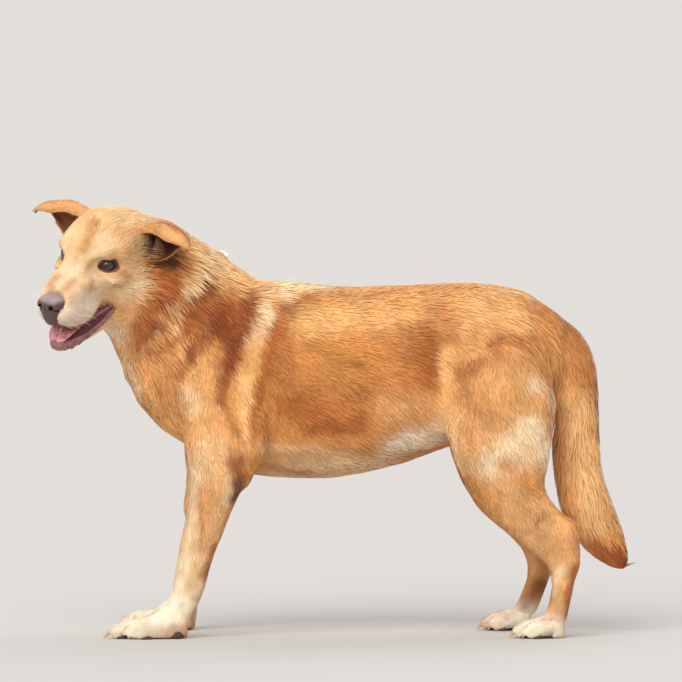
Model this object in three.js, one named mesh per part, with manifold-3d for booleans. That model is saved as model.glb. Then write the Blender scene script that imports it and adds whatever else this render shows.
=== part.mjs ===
// A life-size, still model of a medium, stout, short-haired mixed-breed dog. It stands square on its four
// feet with its tail hanging, its mouth open, and its head turned towards its left shoulder.
// Millimetres. +Z is up, the dog looks along -X and its left side is at -Y. Its soles are on z = 0.
import * as THREE from "three";
import { mergeVertices } from "three/addons/utils/BufferGeometryUtils.js";
import Module from "manifold-3d";

const wasm = await Module();
wasm.setup();

// ---------- Driving sizes ----------

const GAP = 0.3; // clear space between one part and the next
const MIDLINE_Y = 20; // from the middle of the model's whole width to the trunk's own mid-plane

const FORE_STANCE = 76; // from the mid-plane to the middle of a forefoot
const HIND_STANCE = 71; // from the mid-plane to the middle of a hind foot
const RIGHT_FORE_STEP = 5; // the right forefoot stands this far behind the left one
const RIGHT_HIND_STEP = -38; // the right hind foot stands this far ahead of the left one
const STEP_HEIGHT = 160; // below this height a leg leans towards its step
const FORE_TOE_OUT = { left: 4, right: 14 }; // degrees that each forefoot points outwards
const HIND_TOE_OUT = { left: 3, right: 6 };
const WRIST_HEIGHT = 42; // where a foreleg ends and its paw begins
const ANKLE_HEIGHT = 31; // where a hind leg ends and its paw begins

const HEAD_AT = new THREE.Vector3(-326, -98, 494); // the point midway between the eyes
const HEAD_TURN = THREE.MathUtils.degToRad(55); // to the dog's left
const HEAD_NOD = THREE.MathUtils.degToRad(16.5); // nose down
const HEAD_LEAN = THREE.MathUtils.degToRad(-12.5); // left ear down

const EYE_RADIUS = 11.5;
const EYE_SPREAD = 34; // from the head's mid-plane to the middle of an eye
const EAR_THICKNESS = 4;
const COLLAR_WIDTH = 10;
const COLLAR_THICKNESS = 2.5;
const COLLAR_DEPTH = 4.5; // how deep the collar lies in the coat of the neck

const UP = new THREE.Vector3(0, 0, 1);
const REARWARD = new THREE.Vector3(1, 0, 0);

// ---------- Solids ----------

// A closed three.js geometry as a solid that can be cut and joined.
function solidFrom(geometry) {
  const bare = geometry.index ? geometry.toNonIndexed() : geometry.clone();
  for (const name of Object.keys(bare.attributes)) {
    if (name !== "position") bare.deleteAttribute(name);
  }
  const merged = mergeVertices(bare, 1e-4);
  return new wasm.Manifold(
    new wasm.Mesh({
      numProp: 3,
      vertProperties: new Float32Array(merged.attributes.position.array),
      triVerts: new Uint32Array(merged.index.array),
    }),
  );
}

// A solid as a three.js geometry again.
function geometryFrom(solid) {
  const mesh = solid.getMesh();
  const geometry = new THREE.BufferGeometry();
  geometry.setAttribute("position", new THREE.BufferAttribute(new Float32Array(mesh.vertProperties), 3));
  geometry.setIndex(new THREE.BufferAttribute(new Uint32Array(mesh.triVerts), 1));
  geometry.computeVertexNormals();
  return geometry;
}

// A closed geometry through rings of equal size, with each end drawn to a point at its ring's middle.
function skinRings(rings) {
  const sides = rings[0].length;
  const points = rings.flat();
  const faces = [];
  for (let r = 0; r + 1 < rings.length; r++) {
    for (let s = 0; s < sides; s++) {
      const a = r * sides + s;
      const b = r * sides + ((s + 1) % sides);
      faces.push(a, b, b + sides, a, b + sides, a + sides);
    }
  }
  const ends = [0, rings.length - 1];
  for (const end of ends) {
    const middle = new THREE.Vector3();
    for (const point of rings[end]) middle.addScaledVector(point, 1 / sides);
    points.push(middle);
    for (let s = 0; s < sides; s++) {
      const a = end * sides + s;
      const b = end * sides + ((s + 1) % sides);
      if (end === 0) faces.push(b, a, points.length - 1);
      else faces.push(a, b, points.length - 1);
    }
  }
  const geometry = new THREE.BufferGeometry().setFromPoints(points);
  geometry.setIndex(faces);
  return geometry;
}

const curveThrough = (points) => new THREE.CatmullRomCurve3(points, false, "catmullrom", 0.5);

// A mass of flesh along a smooth spine. Each station is [x, y, z, side, over, under]: a point of the
// spine, the reach to either side of it, and the reach over and under it, where `over` says which way
// that is. `grow` adds to every reach, and `square` above 2 fills out the corners of the sections.
function flesh(stations, { over = UP, rings = 16, sides = 16, square = 2.2, grow = 0 } = {}) {
  const spine = curveThrough(stations.map(([x, y, z]) => new THREE.Vector3(x, y, z)));
  const reach = curveThrough(stations.map((station) => new THREE.Vector3(...station.slice(3))));
  const rounded = (value) => Math.sign(value) * Math.abs(value) ** (2 / square);
  const sections = [];
  for (let r = 0; r <= rings; r++) {
    const middle = spine.getPoint(r / rings);
    const along = spine.getTangent(r / rings);
    const [side, above, below] = reach.getPoint(r / rings).toArray().map((size) => size + grow);
    const upward = over.clone().addScaledVector(along, -over.dot(along)).normalize();
    const sideward = new THREE.Vector3().crossVectors(upward, along);
    const section = [];
    for (let s = 0; s < sides; s++) {
      const turn = (2 * Math.PI * s) / sides;
      const height = rounded(Math.sin(turn));
      const point = middle.clone();
      point.addScaledVector(sideward, side * rounded(Math.cos(turn)));
      point.addScaledVector(upward, (height > 0 ? above : below) * height);
      section.push(point);
    }
    sections.push(section);
  }
  return solidFrom(skinRings(sections));
}

// An egg-shaped mass, such as a muscle or an eyeball: its middle and its three reaches.
function egg(x, y, z, reachX, reachY, reachZ, { around = 12, grow = 0 } = {}) {
  const ball = new THREE.SphereGeometry(1, around, Math.ceil(around * 0.6));
  ball.rotateX(Math.PI / 2);
  ball.scale(reachX + grow, reachY + grow, reachZ + grow);
  ball.translate(x, y, z);
  return solidFrom(ball);
}

// All the space beyond the plane through `point`, on the side that `facing` points to.
function beyond(point, facing) {
  const reach = 900;
  const block = new THREE.BoxGeometry(2 * reach, 2 * reach, reach);
  block.translate(0, 0, reach / 2);
  block.applyQuaternion(new THREE.Quaternion().setFromUnitVectors(UP, facing.clone().normalize()));
  block.translate(point.x, point.y, point.z);
  return solidFrom(block);
}

// The two sides of a solid at a plane, a gap apart: first the side that the plane faces, then the other.
function parted(solid, { point, facing }) {
  const half = facing.clone().normalize().multiplyScalar(GAP / 2);
  const ahead = solid.intersect(beyond(point.clone().add(half), facing));
  const behind = solid.subtract(beyond(point.clone().sub(half), facing));
  return [ahead, behind];
}

const joined = (solids) => solids.reduce((whole, solid) => whole.add(solid));
const ABOVE_FLOOR = beyond(new THREE.Vector3(), UP);

// ---------- Trunk, neck and tail ----------

// Breast to rump. The spine runs at the height where the body is widest.
const TRUNK = [
  [-222, 0, 330, 34, 50, 60],
  [-195, 0, 335, 62, 92, 98],
  [-150, 0, 340, 84, 125, 122],
  [-100, 0, 342, 93, 131, 132],
  [-45, 0, 340, 97, 131, 134],
  [10, 0, 338, 98, 126, 131],
  [70, 0, 340, 97, 126, 118],
  [130, 0, 350, 89, 119, 105],
  [185, 0, 362, 80, 110, 100],
  [235, 0, 370, 72, 96, 90],
  [275, 0, 375, 58, 73, 62],
  [302, 0, 380, 34, 40, 36],
];

// Shoulders to the skull, bending to the left.
const NECK = [
  [-112, 0, 318, 78, 128, 104],
  [-160, 0, 372, 84, 124, 120],
  [-202, -3, 420, 80, 104, 101],
  [-238, -10, 458, 74, 86, 86],
  [-268, -22, 482, 66, 82, 82],
  [-288, -32, 492, 46, 60, 60],
];

// Root to tip. It hangs, then bends back towards its tip.
const TAIL = [
  [280, 0, 392, 28, 28, 28],
  [305, 0, 371, 29, 30, 30],
  [320, 0, 340, 28, 31, 30],
  [323, 0, 300, 27, 30, 29],
  [322, 0, 250, 27, 32, 31],
  [327, 0, 205, 28, 32, 32],
  [340, 0, 160, 28, 34, 33],
  [359, 0, 128, 24, 29, 28],
  [376, 0, 106, 14, 18, 19],
  [390, 0, 91, 4, 5, 6],
];

const trunkMass = (grow = 0) => flesh(TRUNK, { rings: 16, sides: 18, square: 2.25, grow });
const neckMass = (grow = 0) => flesh(NECK, { rings: 8, sides: 18, square: 2.15, grow });
const bodyMass = (grow = 0) => joined([trunkMass(grow), neckMass(grow)]);
const tailMass = () => flesh(TAIL, { over: REARWARD, rings: 14, sides: 12, square: 2 });

// The collar is a ring that lies in a groove right round the neck.
const COLLAR_PLANE = { point: new THREE.Vector3(-209, 0, 427), facing: new THREE.Vector3(-0.786, 0, 0.618) };

function neckBand(width, outer, inner) {
  const half = COLLAR_PLANE.facing.clone().normalize().multiplyScalar(width / 2);
  const front = beyond(COLLAR_PLANE.point.clone().add(half), COLLAR_PLANE.facing);
  const back = beyond(COLLAR_PLANE.point.clone().sub(half), COLLAR_PLANE.facing);
  return neckMass(outer).subtract(neckMass(inner)).intersect(back).subtract(front);
}

const collarRing = () => neckBand(COLLAR_WIDTH, -COLLAR_DEPTH, -COLLAR_DEPTH - COLLAR_THICKNESS);
const collarGroove = () => neckBand(COLLAR_WIDTH + 2 * GAP, 4, -COLLAR_DEPTH - COLLAR_THICKNESS - GAP);

// ---------- Legs. Here y is how far a place lies inwards of the foot, and side is 1 on the left ----------

// Shoulder blade to the back of the paw.
const FORELEG = [
  [-98, 30, 410, 18, 46, 40],
  [-122, 16, 352, 30, 62, 56],
  [-140, 6, 300, 36, 64, 56],
  [-146, 1, 255, 36, 52, 52],
  [-150, -2, 215, 31, 39, 39],
  [-157, -3, 184, 28, 30, 31],
  [-174, -3, 129, 23, 26.5, 26.5],
  [-187, -1, 76, 19.5, 22.5, 22.5],
  [-193, 0, 52, 19, 21, 21],
  [-203, 0, 32, 20, 18, 20],
];

// Hip to the back of the paw.
const HIND_LEG = [
  [225, 35, 424, 22, 44, 44],
  [219, 18, 376, 37, 70, 70],
  [217, 9, 325, 44, 74, 74],
  [217, 5, 280, 44, 70, 70],
  [220, 2, 245, 41, 63, 63],
  [226, 0, 206, 36, 53, 53],
  [241, -1, 178, 31, 44, 44],
  [264, -1, 155, 26, 36, 36],
  [287, -1, 134, 21, 33, 34],
  [301, 0, 106, 17, 23, 24],
  [304, 0, 76, 14.5, 15.5, 15.5],
  [299, 0, 48, 15, 14.5, 14.5],
  [294, 0, 28, 17, 15, 15],
];

// Heel to toes.
const FOREPAW = [
  [-186, 0, 20, 14, 16, 22],
  [-203, 0, 24, 21, 24, 26],
  [-224, 0, 21, 26, 25, 25],
  [-246, 0, 17, 28, 21, 20],
  [-268, 0, 13, 26, 15, 16],
];

const HIND_PAW = [
  [306, 0, 18, 11, 12, 20],
  [294, 0, 18, 18, 16, 22],
  [274, 0, 15, 22, 17, 18],
  [256, 0, 12, 22, 14, 14],
];

// How each kind of foot is built: its four toes' middles across the foot, where the longest end, how
// much shorter the outer ones are, and the upright line that it turns out about.
const FOREFOOT = { paw: FOREPAW, toes: [-20, -7, 7, 20], tip: -289, outer: 12, length: 42, pivot: -195 };
const HINDFOOT = { paw: HIND_PAW, toes: [-17, -6, 6, 17], tip: 240, outer: 10, length: 34, pivot: 300 };

// One foot: the body of the paw, four toes and their claws, cut flat where they stand.
function foot({ paw, toes, tip, outer, length, pivot }, toeOut) {
  const pieces = [flesh(paw, { rings: 5, sides: 8, square: 2.4 })];
  for (const y of toes) {
    const end = tip + (Math.abs(y) > 10 ? outer : 0);
    const toe = [
      [end + length, 0.6 * y, 20, 8, 9, 12],
      [end + 0.6 * length, y, 19, 9, 9, 14],
      [end + 0.2 * length, y, 12, 8.5, 8, 11],
      [end, y, 8, 5, 5, 6],
    ];
    const claw = [
      [end + 5, y, 9.5, 2.6, 3, 3],
      [end - 9, y, 4.5, 1, 1.2, 1.2],
    ];
    pieces.push(flesh(toe, { rings: 2, sides: 6, square: 2 }), flesh(claw, { rings: 1, sides: 4, square: 2 }));
  }
  const turned = joined(pieces).translate([-pivot, 0, 0]).rotate([0, 0, toeOut]).translate([pivot, 0, 0]);
  return turned.intersect(ABOVE_FLOOR);
}

// A whole leg in its place: the leg and its foot, less the body that it grows from.
function limb(stations, kind, { side, stance, step, toeOut, rings }) {
  const leaned = stations.map(([x, inward, z, ...reaches]) => {
    const lean = step * Math.max(1 - z / STEP_HEIGHT, 0) ** 0.6;
    return [x + lean, side * (inward - stance), z, ...reaches];
  });
  const leg = flesh(leaned, { over: REARWARD, rings, sides: 11 });
  const paw = foot(kind, side * toeOut).translate([step, -side * stance, 0]);
  return leg.add(paw).intersect(ABOVE_FLOOR).subtract(bodyMass(GAP));
}

// ---------- Head. Here x points to the nose, y to the dog's left and z up, from midway between the eyes ----

// Back of the skull to the nose.
const SKULL = [
  [-126, 0, 4, 20, 20, 22],
  [-110, 0, 4, 44, 40, 44],
  [-84, 0, 4, 58, 50, 56],
  [-54, 0, 4, 60, 52, 60],
  [-26, 0, 2, 56, 47, 61],
  [0, 0, -4, 43, 35, 62],
  [16, 0, -12, 34, 22, 60],
  [34, 0, -22, 31, 15, 54],
  [52, 0, -28, 28, 16, 47],
  [67, 0, -32, 25, 17, 37],
  [77, 0, -34, 20, 16, 28],
  [83, 0, -36, 12, 8, 14],
];

// Angle of the jaw to the front of the lower lip.
const JAW = [
  [-78, 0, -44, 36, 14, 30],
  [-48, 0, -64, 38, 12, 34],
  [-18, 0, -75, 33, 10, 27],
  [8, 0, -84, 27, 8, 21],
  [32, 0, -91, 22, 7, 17],
  [52, 0, -96, 18, 6, 13],
  [64, 0, -97, 13, 5, 9],
  [70, 0, -96, 6, 3, 4],
];

const TONGUE = [
  [-30, 0, -62, 16, 6, 8],
  [0, 0, -73, 18, 6, 8],
  [30, 0, -82, 19, 6, 7],
  [54, 0, -88, 17, 5, 5],
  [66, 0, -90, 10, 3, 3],
];

// An ear is a cup, open to the front, that narrows outwards to a flat tip. Each station is [x, y, z,
// reach forward and back, reach up and down, start, end], the last two as degrees round the ear's own
// line from its front edge over the top and the back to its lower edge: 0 is forward and 90 is up.
const EAR = [
  [-77, 38, 14, 20, 23, 36, 316],
  [-75, 56, 17, 21, 25, 34, 312],
  [-73, 72, 22, 21, 26, 30, 304],
  [-71, 87, 26, 19, 23, 20, 288],
  [-69, 100, 31, 16, 15, 8, 262],
  [-66, 112, 33, 12, 8, 0, 215],
  [-63, 119, 31, 8, 5, 0, 190],
  [-61, 124, 28, 3, 3, 0, 180],
];

const NOSE = [72, 0, -31, 17, 19, 15];
const EYE_X = -11;
const EYE_Z = 1;

const headFrame = new THREE.Group();
headFrame.position.copy(HEAD_AT);
headFrame.rotation.set(HEAD_LEAN, HEAD_NOD, Math.PI + HEAD_TURN, "ZYX");
headFrame.updateMatrix();

// A solid made in the head's frame, set in the dog's.
const onHead = (solid) => solid.transform(headFrame.matrix.elements);

function skullMass(grow = 0) {
  const skull = flesh(SKULL, { rings: 13, sides: 14, grow });
  const throat = egg(-52, 0, -70, 52, 36, 34, { around: 10, grow });
  const pieces = [skull, throat];
  for (const side of [1, -1]) {
    const cheek = egg(-58, side * 32, -36, 46, 33, 46, { around: 10, grow });
    const upperLip = egg(30, side * 14, -50, 44, 18, 26, { around: 9, grow });
    pieces.push(cheek, upperLip);
  }
  return onHead(joined(pieces));
}

const jawMass = (grow = 0) => onHead(flesh(JAW, { rings: 8, sides: 10, grow }));
const tongueMass = () => onHead(flesh(TONGUE, { rings: 6, sides: 8 }));
const noseMass = (grow = 0) => onHead(egg(...NOSE, { around: 12, grow }));

function eyeMass(side, grow = 0) {
  const reach = [EYE_RADIUS, EYE_RADIUS, EYE_RADIUS];
  return onHead(egg(EYE_X, side * EYE_SPREAD, EYE_Z, ...reach, { around: 10, grow }));
}

// The space that an eye lies in, with the opening between its lids.
function eyeSocket(side) {
  const opening = onHead(egg(EYE_X + 14, side * (EYE_SPREAD + 6), EYE_Z, 12, 14, 9, { around: 8 }));
  return eyeMass(side, GAP).add(opening);
}

function earMass(side) {
  const lengthSteps = 8;
  const aroundSteps = 6;
  const place = curveThrough(EAR.map(([x, y, z]) => new THREE.Vector3(x, y, z)));
  const reach = curveThrough(EAR.map(([, , , wide, high]) => new THREE.Vector3(wide, high, 0)));
  const span = curveThrough(EAR.map(([, , , , , start, end]) => new THREE.Vector3(start, end, 0)));
  const rings = [];
  for (let l = 0; l <= lengthSteps; l++) {
    const middle = place.getPoint(l / lengthSteps);
    const size = reach.getPoint(l / lengthSteps);
    const turns = span.getPoint(l / lengthSteps);
    const outside = [];
    const inside = [];
    for (let a = 0; a <= aroundSteps; a++) {
      const turn = THREE.MathUtils.degToRad(THREE.MathUtils.lerp(turns.x, turns.y, a / aroundSteps));
      const rim = new THREE.Vector3(size.x * Math.cos(turn), 0, size.y * Math.sin(turn));
      const inward = rim.clone().normalize().multiplyScalar(-Math.min(EAR_THICKNESS, 0.8 * rim.length()));
      outside.push(new THREE.Vector3(middle.x, side * middle.y, middle.z).add(rim));
      inside.unshift(outside[a].clone().add(inward));
    }
    const ring = [...outside, ...inside];
    rings.push(side > 0 ? ring.reverse() : ring);
  }
  return onHead(solidFrom(skinRings(rings)));
}

// ---------- Parting the body into its named pieces ----------

const NECK_ROOT = { point: new THREE.Vector3(-160, 0, 365), facing: new THREE.Vector3(-0.86, 0, 0.5) };
const SKULL_ROOT = { point: new THREE.Vector3(-250, -10, 470), facing: new THREE.Vector3(-0.93, -0.25, 0.26) };
const WRISTS = { point: new THREE.Vector3(0, 0, WRIST_HEIGHT), facing: UP };
const ANKLES = { point: new THREE.Vector3(0, 0, ANKLE_HEIGHT), facing: UP };
const SIDES = { left: 1, right: -1 };

// ---------- Finishes ----------

const COAT = { color: 0xd39a60, roughness: 0.85, metalness: 0 };
const PALE_COAT = { color: 0xe8d4b8, roughness: 0.85, metalness: 0 };
const NOSE_LEATHER = { color: 0x53403d, roughness: 0.45, metalness: 0 };
const EYE_GLOSS = { color: 0x2e1c12, roughness: 0.08, metalness: 0 };
const TONGUE_PINK = { color: 0xcf8f8f, roughness: 0.4, metalness: 0 };
const COLLAR_WEB = { color: 0xdedad2, roughness: 0.7, metalness: 0 };

const dog = new THREE.Group();
dog.position.y = MIDLINE_Y;

function add(name, solid, look) {
  const mesh = new THREE.Mesh(geometryFrom(solid), new THREE.MeshStandardMaterial(look));
  mesh.name = name;
  dog.add(mesh);
}

const body = joined([bodyMass(), skullMass()]);
const [neckAndHead, trunk] = parted(body, NECK_ROOT);
const [headBlock, neckBlock] = parted(neckAndHead, SKULL_ROOT);
const eyeSockets = joined([eyeSocket(1), eyeSocket(-1)]);
const head = headBlock.subtract(joined([eyeSockets, noseMass(GAP), jawMass(GAP)]));
const headAndNeckGrown = joined([skullMass(GAP), neckMass(GAP)]);

add("trunk", trunk.subtract(collarGroove()), COAT);
add("neck", neckBlock.subtract(collarGroove()), COAT);
add("head", head, COAT);
add("collar", collarRing(), COLLAR_WEB);
add("lower_jaw", jawMass(), PALE_COAT);
add("tongue", tongueMass().subtract(jawMass(GAP)).subtract(headAndNeckGrown), TONGUE_PINK);
add("nose", noseMass(), NOSE_LEATHER);
add("tail", tailMass().subtract(trunkMass(GAP)), COAT);

for (const [word, side] of Object.entries(SIDES)) {
  add(`eye_${word}`, eyeMass(side), EYE_GLOSS);
  add(`ear_${word}`, earMass(side).subtract(headAndNeckGrown), COAT);

  const foreStep = side > 0 ? 0 : RIGHT_FORE_STEP;
  const foreFit = { side, stance: FORE_STANCE, step: foreStep, toeOut: FORE_TOE_OUT[word], rings: 12 };
  const [foreleg, forepaw] = parted(limb(FORELEG, FOREFOOT, foreFit), WRISTS);
  add(`foreleg_${word}`, foreleg, COAT);
  add(`forepaw_${word}`, forepaw, PALE_COAT);

  const hindStep = side > 0 ? 0 : RIGHT_HIND_STEP;
  const hindFit = { side, stance: HIND_STANCE, step: hindStep, toeOut: HIND_TOE_OUT[word], rings: 15 };
  const [hindLeg, hindPaw] = parted(limb(HIND_LEG, HINDFOOT, hindFit), ANKLES);
  add(`hind_leg_${word}`, hindLeg, COAT);
  add(`hind_paw_${word}`, hindPaw, PALE_COAT);
}

export default dog;
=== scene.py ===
# A life-size, still model of a stout, short-haired, red-fawn mixed-breed dog that stands square with its
# tail hanging, its mouth open and its head turned towards its left shoulder. It is built round the packed
# solids: one skin over the flesh, the bare parts of the head and feet, the coat, the collar, and the set.
# Lengths are in millimetres until a mesh is made. The dog looks along -X, and its left side is at -Y.
import math

import bpy
import numpy as np
import openvdb as vdb
from mathutils import Euler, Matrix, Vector


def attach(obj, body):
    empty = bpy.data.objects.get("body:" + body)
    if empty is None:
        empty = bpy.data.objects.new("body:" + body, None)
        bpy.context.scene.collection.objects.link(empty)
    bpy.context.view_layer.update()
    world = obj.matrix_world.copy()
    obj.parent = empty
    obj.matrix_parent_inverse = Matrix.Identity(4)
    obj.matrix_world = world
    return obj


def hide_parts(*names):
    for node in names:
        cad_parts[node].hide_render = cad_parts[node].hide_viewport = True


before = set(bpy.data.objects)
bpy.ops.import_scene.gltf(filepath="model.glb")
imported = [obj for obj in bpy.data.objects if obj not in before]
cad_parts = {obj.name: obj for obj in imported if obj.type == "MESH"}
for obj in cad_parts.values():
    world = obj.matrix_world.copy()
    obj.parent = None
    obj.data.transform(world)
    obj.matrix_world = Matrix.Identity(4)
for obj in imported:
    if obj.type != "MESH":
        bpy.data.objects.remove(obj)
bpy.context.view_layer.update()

# ---------- Camera: level with the dog's back, square to its left side ----------
# It stands 6.5 m off, as for a long lens, so that near and far legs keep nearly the same size.
MM = 0.001
CAMERA_PLACE = (0, -6480, 470)
CAMERA_AIM = (11.3, 20, 390)
FIELD_WIDTH = 907  # what the frame takes in at the dog's mid-plane

scene = bpy.context.scene
scene.view_settings.view_transform = "Standard"
camera = bpy.data.objects.new("camera", bpy.data.cameras.new("camera"))
scene.collection.objects.link(camera)
scene.camera = camera
camera.location = Vector(CAMERA_PLACE) * MM
line_of_sight = (Vector(CAMERA_AIM) - Vector(CAMERA_PLACE)) * MM
camera.rotation_euler = line_of_sight.to_track_quat("-Z", "Y").to_euler()
camera.data.lens = camera.data.sensor_width * line_of_sight.length / (FIELD_WIDTH * MM)

# ---------- Skin: its shape ----------
# One hide covers the trunk, neck, head, jaw, ears, legs, paws and tail with no seam. It lies under the
# solids' surface by the depth of the coat there, which is how far the hair stands off the body.
MIDLINE_Y = 20.0
VOXEL = 2.0
GRID_LOW = np.array([-404.0, -150.0, -12.0])
GRID_SHAPE = (402, 150, 299)
REACH = 26.0  # how far from the surface its distance is known
CLOSING = 1.6  # half the widest gap between two solids that the hide closes
BODY_SOFTENING = 2.2  # voxels
PAW_SOFTENING = 0.7
PAWS_TO_LEGS = (45, 110)  # the height over which the one goes over into the other
SIDES = {"left": 1, "right": -1}
FLESH = ["trunk", "neck", "head", "lower_jaw", "tail"]
for side_word in SIDES:
    FLESH += [f"{part}_{side_word}" for part in ("foreleg", "forepaw", "hind_leg", "hind_paw")]

HEAD_AT = np.array([-326.0, -98.0 + MIDLINE_Y, 494.0])  # midway between the eyes
HEAD_ANGLES = [math.radians(angle) for angle in (-12.5, 16.5, 235)]  # lean, nod and turn
HEAD_TURN = np.array(Euler(HEAD_ANGLES, "XYZ").to_matrix())


def on_head(points):
    """Points of the head's own frame (x to the nose, y to the dog's left, z up) in the dog's frame."""
    return np.asarray(points, float) @ HEAD_TURN.T + HEAD_AT


def in_head(points):
    """Points of the dog's frame in the head's own."""
    return (points - HEAD_AT) @ HEAD_TURN


def node_mesh(name):
    """The points, in millimetres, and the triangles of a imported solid."""
    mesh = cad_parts[name].data
    mesh.calc_loop_triangles()
    points = np.empty(len(mesh.vertices) * 3, np.float32)
    mesh.vertices.foreach_get("co", points)
    triangles = np.empty(len(mesh.loop_triangles) * 3, np.int32)
    mesh.loop_triangles.foreach_get("vertices", triangles)
    return points.reshape(-1, 3) / MM, triangles.reshape(-1, 3)


def joined_meshes(meshes):
    """Several (points, faces) pairs as one."""
    start = 0
    points, faces = [], []
    for part_points, part_faces in meshes:
        points.append(part_points)
        faces.append(part_faces + start)
        start += len(part_points)
    return np.concatenate(points), np.concatenate(faces)


def level_set(points, faces):
    """A grid of the distance from a closed mesh, below zero inside it."""
    kind = "triangles" if faces.shape[1] == 3 else "quads"
    spacing = vdb.createLinearTransform(voxelSize=VOXEL)
    mesh = {"points": points.astype(np.float32), kind: faces.astype(np.uint32)}
    return vdb.FloatGrid.createLevelSetFromPolygons(transform=spacing, halfWidth=REACH / VOXEL, **mesh)


def surface(field, low=GRID_LOW, voxel=VOXEL):
    """The zero surface of a field as points in millimetres and quads that face out."""
    grid = vdb.FloatGrid(REACH)
    grid.transform = vdb.createLinearTransform(voxelSize=voxel)
    grid.copyFromArray(field, ijk=tuple(int(round(v)) for v in low / voxel))
    points, quads = grid.convertToQuads(isovalue=0.0)
    return points, quads[:, ::-1]


def blurred(field, spread):
    """The field smoothed by a bell curve that many voxels wide."""
    reach = int(math.ceil(2.5 * spread))
    weights = np.exp(-0.5 * (np.arange(-reach, reach + 1) / spread) ** 2)
    weights /= weights.sum()
    for axis in range(3):
        padding = [(reach, reach) if a == axis else (0, 0) for a in range(3)]
        padded = np.pad(field, padding, mode="edge")
        total = np.zeros_like(field)
        for step, weight in enumerate(weights):
            window = [slice(None)] * 3
            window[axis] = slice(step, step + field.shape[axis])
            total += np.float32(weight) * padded[tuple(window)]
        field = total
    return field


def grid_points(low, shape, voxel):
    """The place of every voxel of a block, as an array of points."""
    axes = [low[a] + voxel * np.arange(shape[a], dtype=np.float32) for a in range(3)]
    return np.stack(np.meshgrid(*axes, indexing="ij"), axis=-1)


def egg(points, middle, reach):
    """About how far each point lies outside an egg-shaped mass."""
    offset = (points - np.asarray(middle, np.float32)) / np.asarray(reach, np.float32)
    near = np.sqrt((offset**2).sum(-1)) + 1e-6
    steep = np.sqrt(((offset / np.asarray(reach, np.float32)) ** 2).sum(-1)) + 1e-6
    return near * (near - 1) / steep


def blend(first, second, softness):
    """Two masses run together with a rounded crease."""
    shared = np.maximum(softness - np.abs(first - second), 0) / softness
    return np.minimum(first, second) - shared**2 * softness / 4


def hollowed(mass, hollow, softness):
    """A mass with another cut out of it, and the edge rounded."""
    return -blend(-mass, hollow, softness)


def smooth_step(low, high, value):
    """0 before the first bound, 1 after the second, and an easy rise between them."""
    t = np.clip((value - low) / (high - low), 0, 1)
    return t * t * (3 - 2 * t)


def between(first, second, share):
    """The first value brought towards the second by that share."""
    return first + (second - first) * share


gapped = level_set(*joined_meshes([node_mesh(name) for name in FLESH]))
closed = level_set(*gapped.convertToQuads(isovalue=CLOSING))
coat_top = np.empty(GRID_SHAPE, np.float32)
closed.copyToArray(coat_top, ijk=tuple(int(v) for v in GRID_LOW / VOXEL))
coat_top += CLOSING
height = (GRID_LOW[2] + VOXEL * np.arange(GRID_SHAPE[2])).astype(np.float32)
soft = blurred(coat_top, BODY_SOFTENING)
fine = blurred(coat_top, PAW_SOFTENING)
coat_top = between(fine, soft, smooth_step(*PAWS_TO_LEGS, height))

# The muscles, folds and toes that the plain solids leave out. Each row is a mass added to the body or a
# hollow cut in it: its middle (y outwards from the mid-plane), its reaches, and how softly it runs in.
BODY_FORMS = [
    ("add", (-168, 66, 318), (24, 20, 30), 22),  # point of the shoulder
    ("add", (-112, 84, 262), (24, 16, 44), 20),  # back of the upper arm
    ("cut", (-70, 98, 268), (9, 9, 62), 16),  # behind the shoulder
    ("cut", (146, 96, 330), (13, 10, 78), 24),  # in front of the thigh
    ("add", (232, 92, 330), (44, 16, 58), 26),  # thigh muscle
    ("add", (196, 92, 262), (22, 16, 30), 20),  # stifle
    ("cut", (238, 116, 180), (27, 5, 4), 7),  # between the shin and its tendon
    ("add", (303, 71, 140), (13, 10, 13), 9),  # point of the hock
    ("cut", (284, 92, 156), (16, 5, 8), 8),  # before the tendon of the hock
    ("add", (-120, 76, 212), (12, 12, 14), 12),  # elbow
    ("cut", (-178, 98, 150), (5, 5, 44), 8),  # along the forearm
    ("cut", (-20, 0, 474), (60, 5, 8), 12),  # furrow of the back
]
HEAD_FORMS = [
    ("add", (-5, 29, 20), (12, 11, 7), 9),  # brow
    ("add", (-42, 0, 49), (18, 26, 13), 16),  # front of the crown
    ("cut", (2, 0, 43), (30, 4, 8), 12),  # furrow of the forehead
    ("add", (-28, 46, -17), (30, 7, 7), 14),  # cheekbone
    ("cut", (16, 31, 2), (20, 13, 10.5), 8),  # before the eye
    ("cut", (-2, 44, 1), (12, 9, 6), 6),  # round the eye
    ("cut", (21, 33, -14), (4, 4, 14), 5),  # fold from the eye to the lip
    ("add", (48, 15, -50), (24, 12, 15), 10),  # pad of the whiskers
    ("cut", (16, 36, -40), (26, 7, 8), 10),  # between that and the cheek
    ("cut", (-48, 60, 16), (20, 8, 20), 14),  # temple
    ("cut", (88, 0, -7), (24, 30, 14), 8),  # down to the nose
    ("cut", (85, 0, -98), (21, 30, 22), 5),  # tip of the jaw
]
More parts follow.
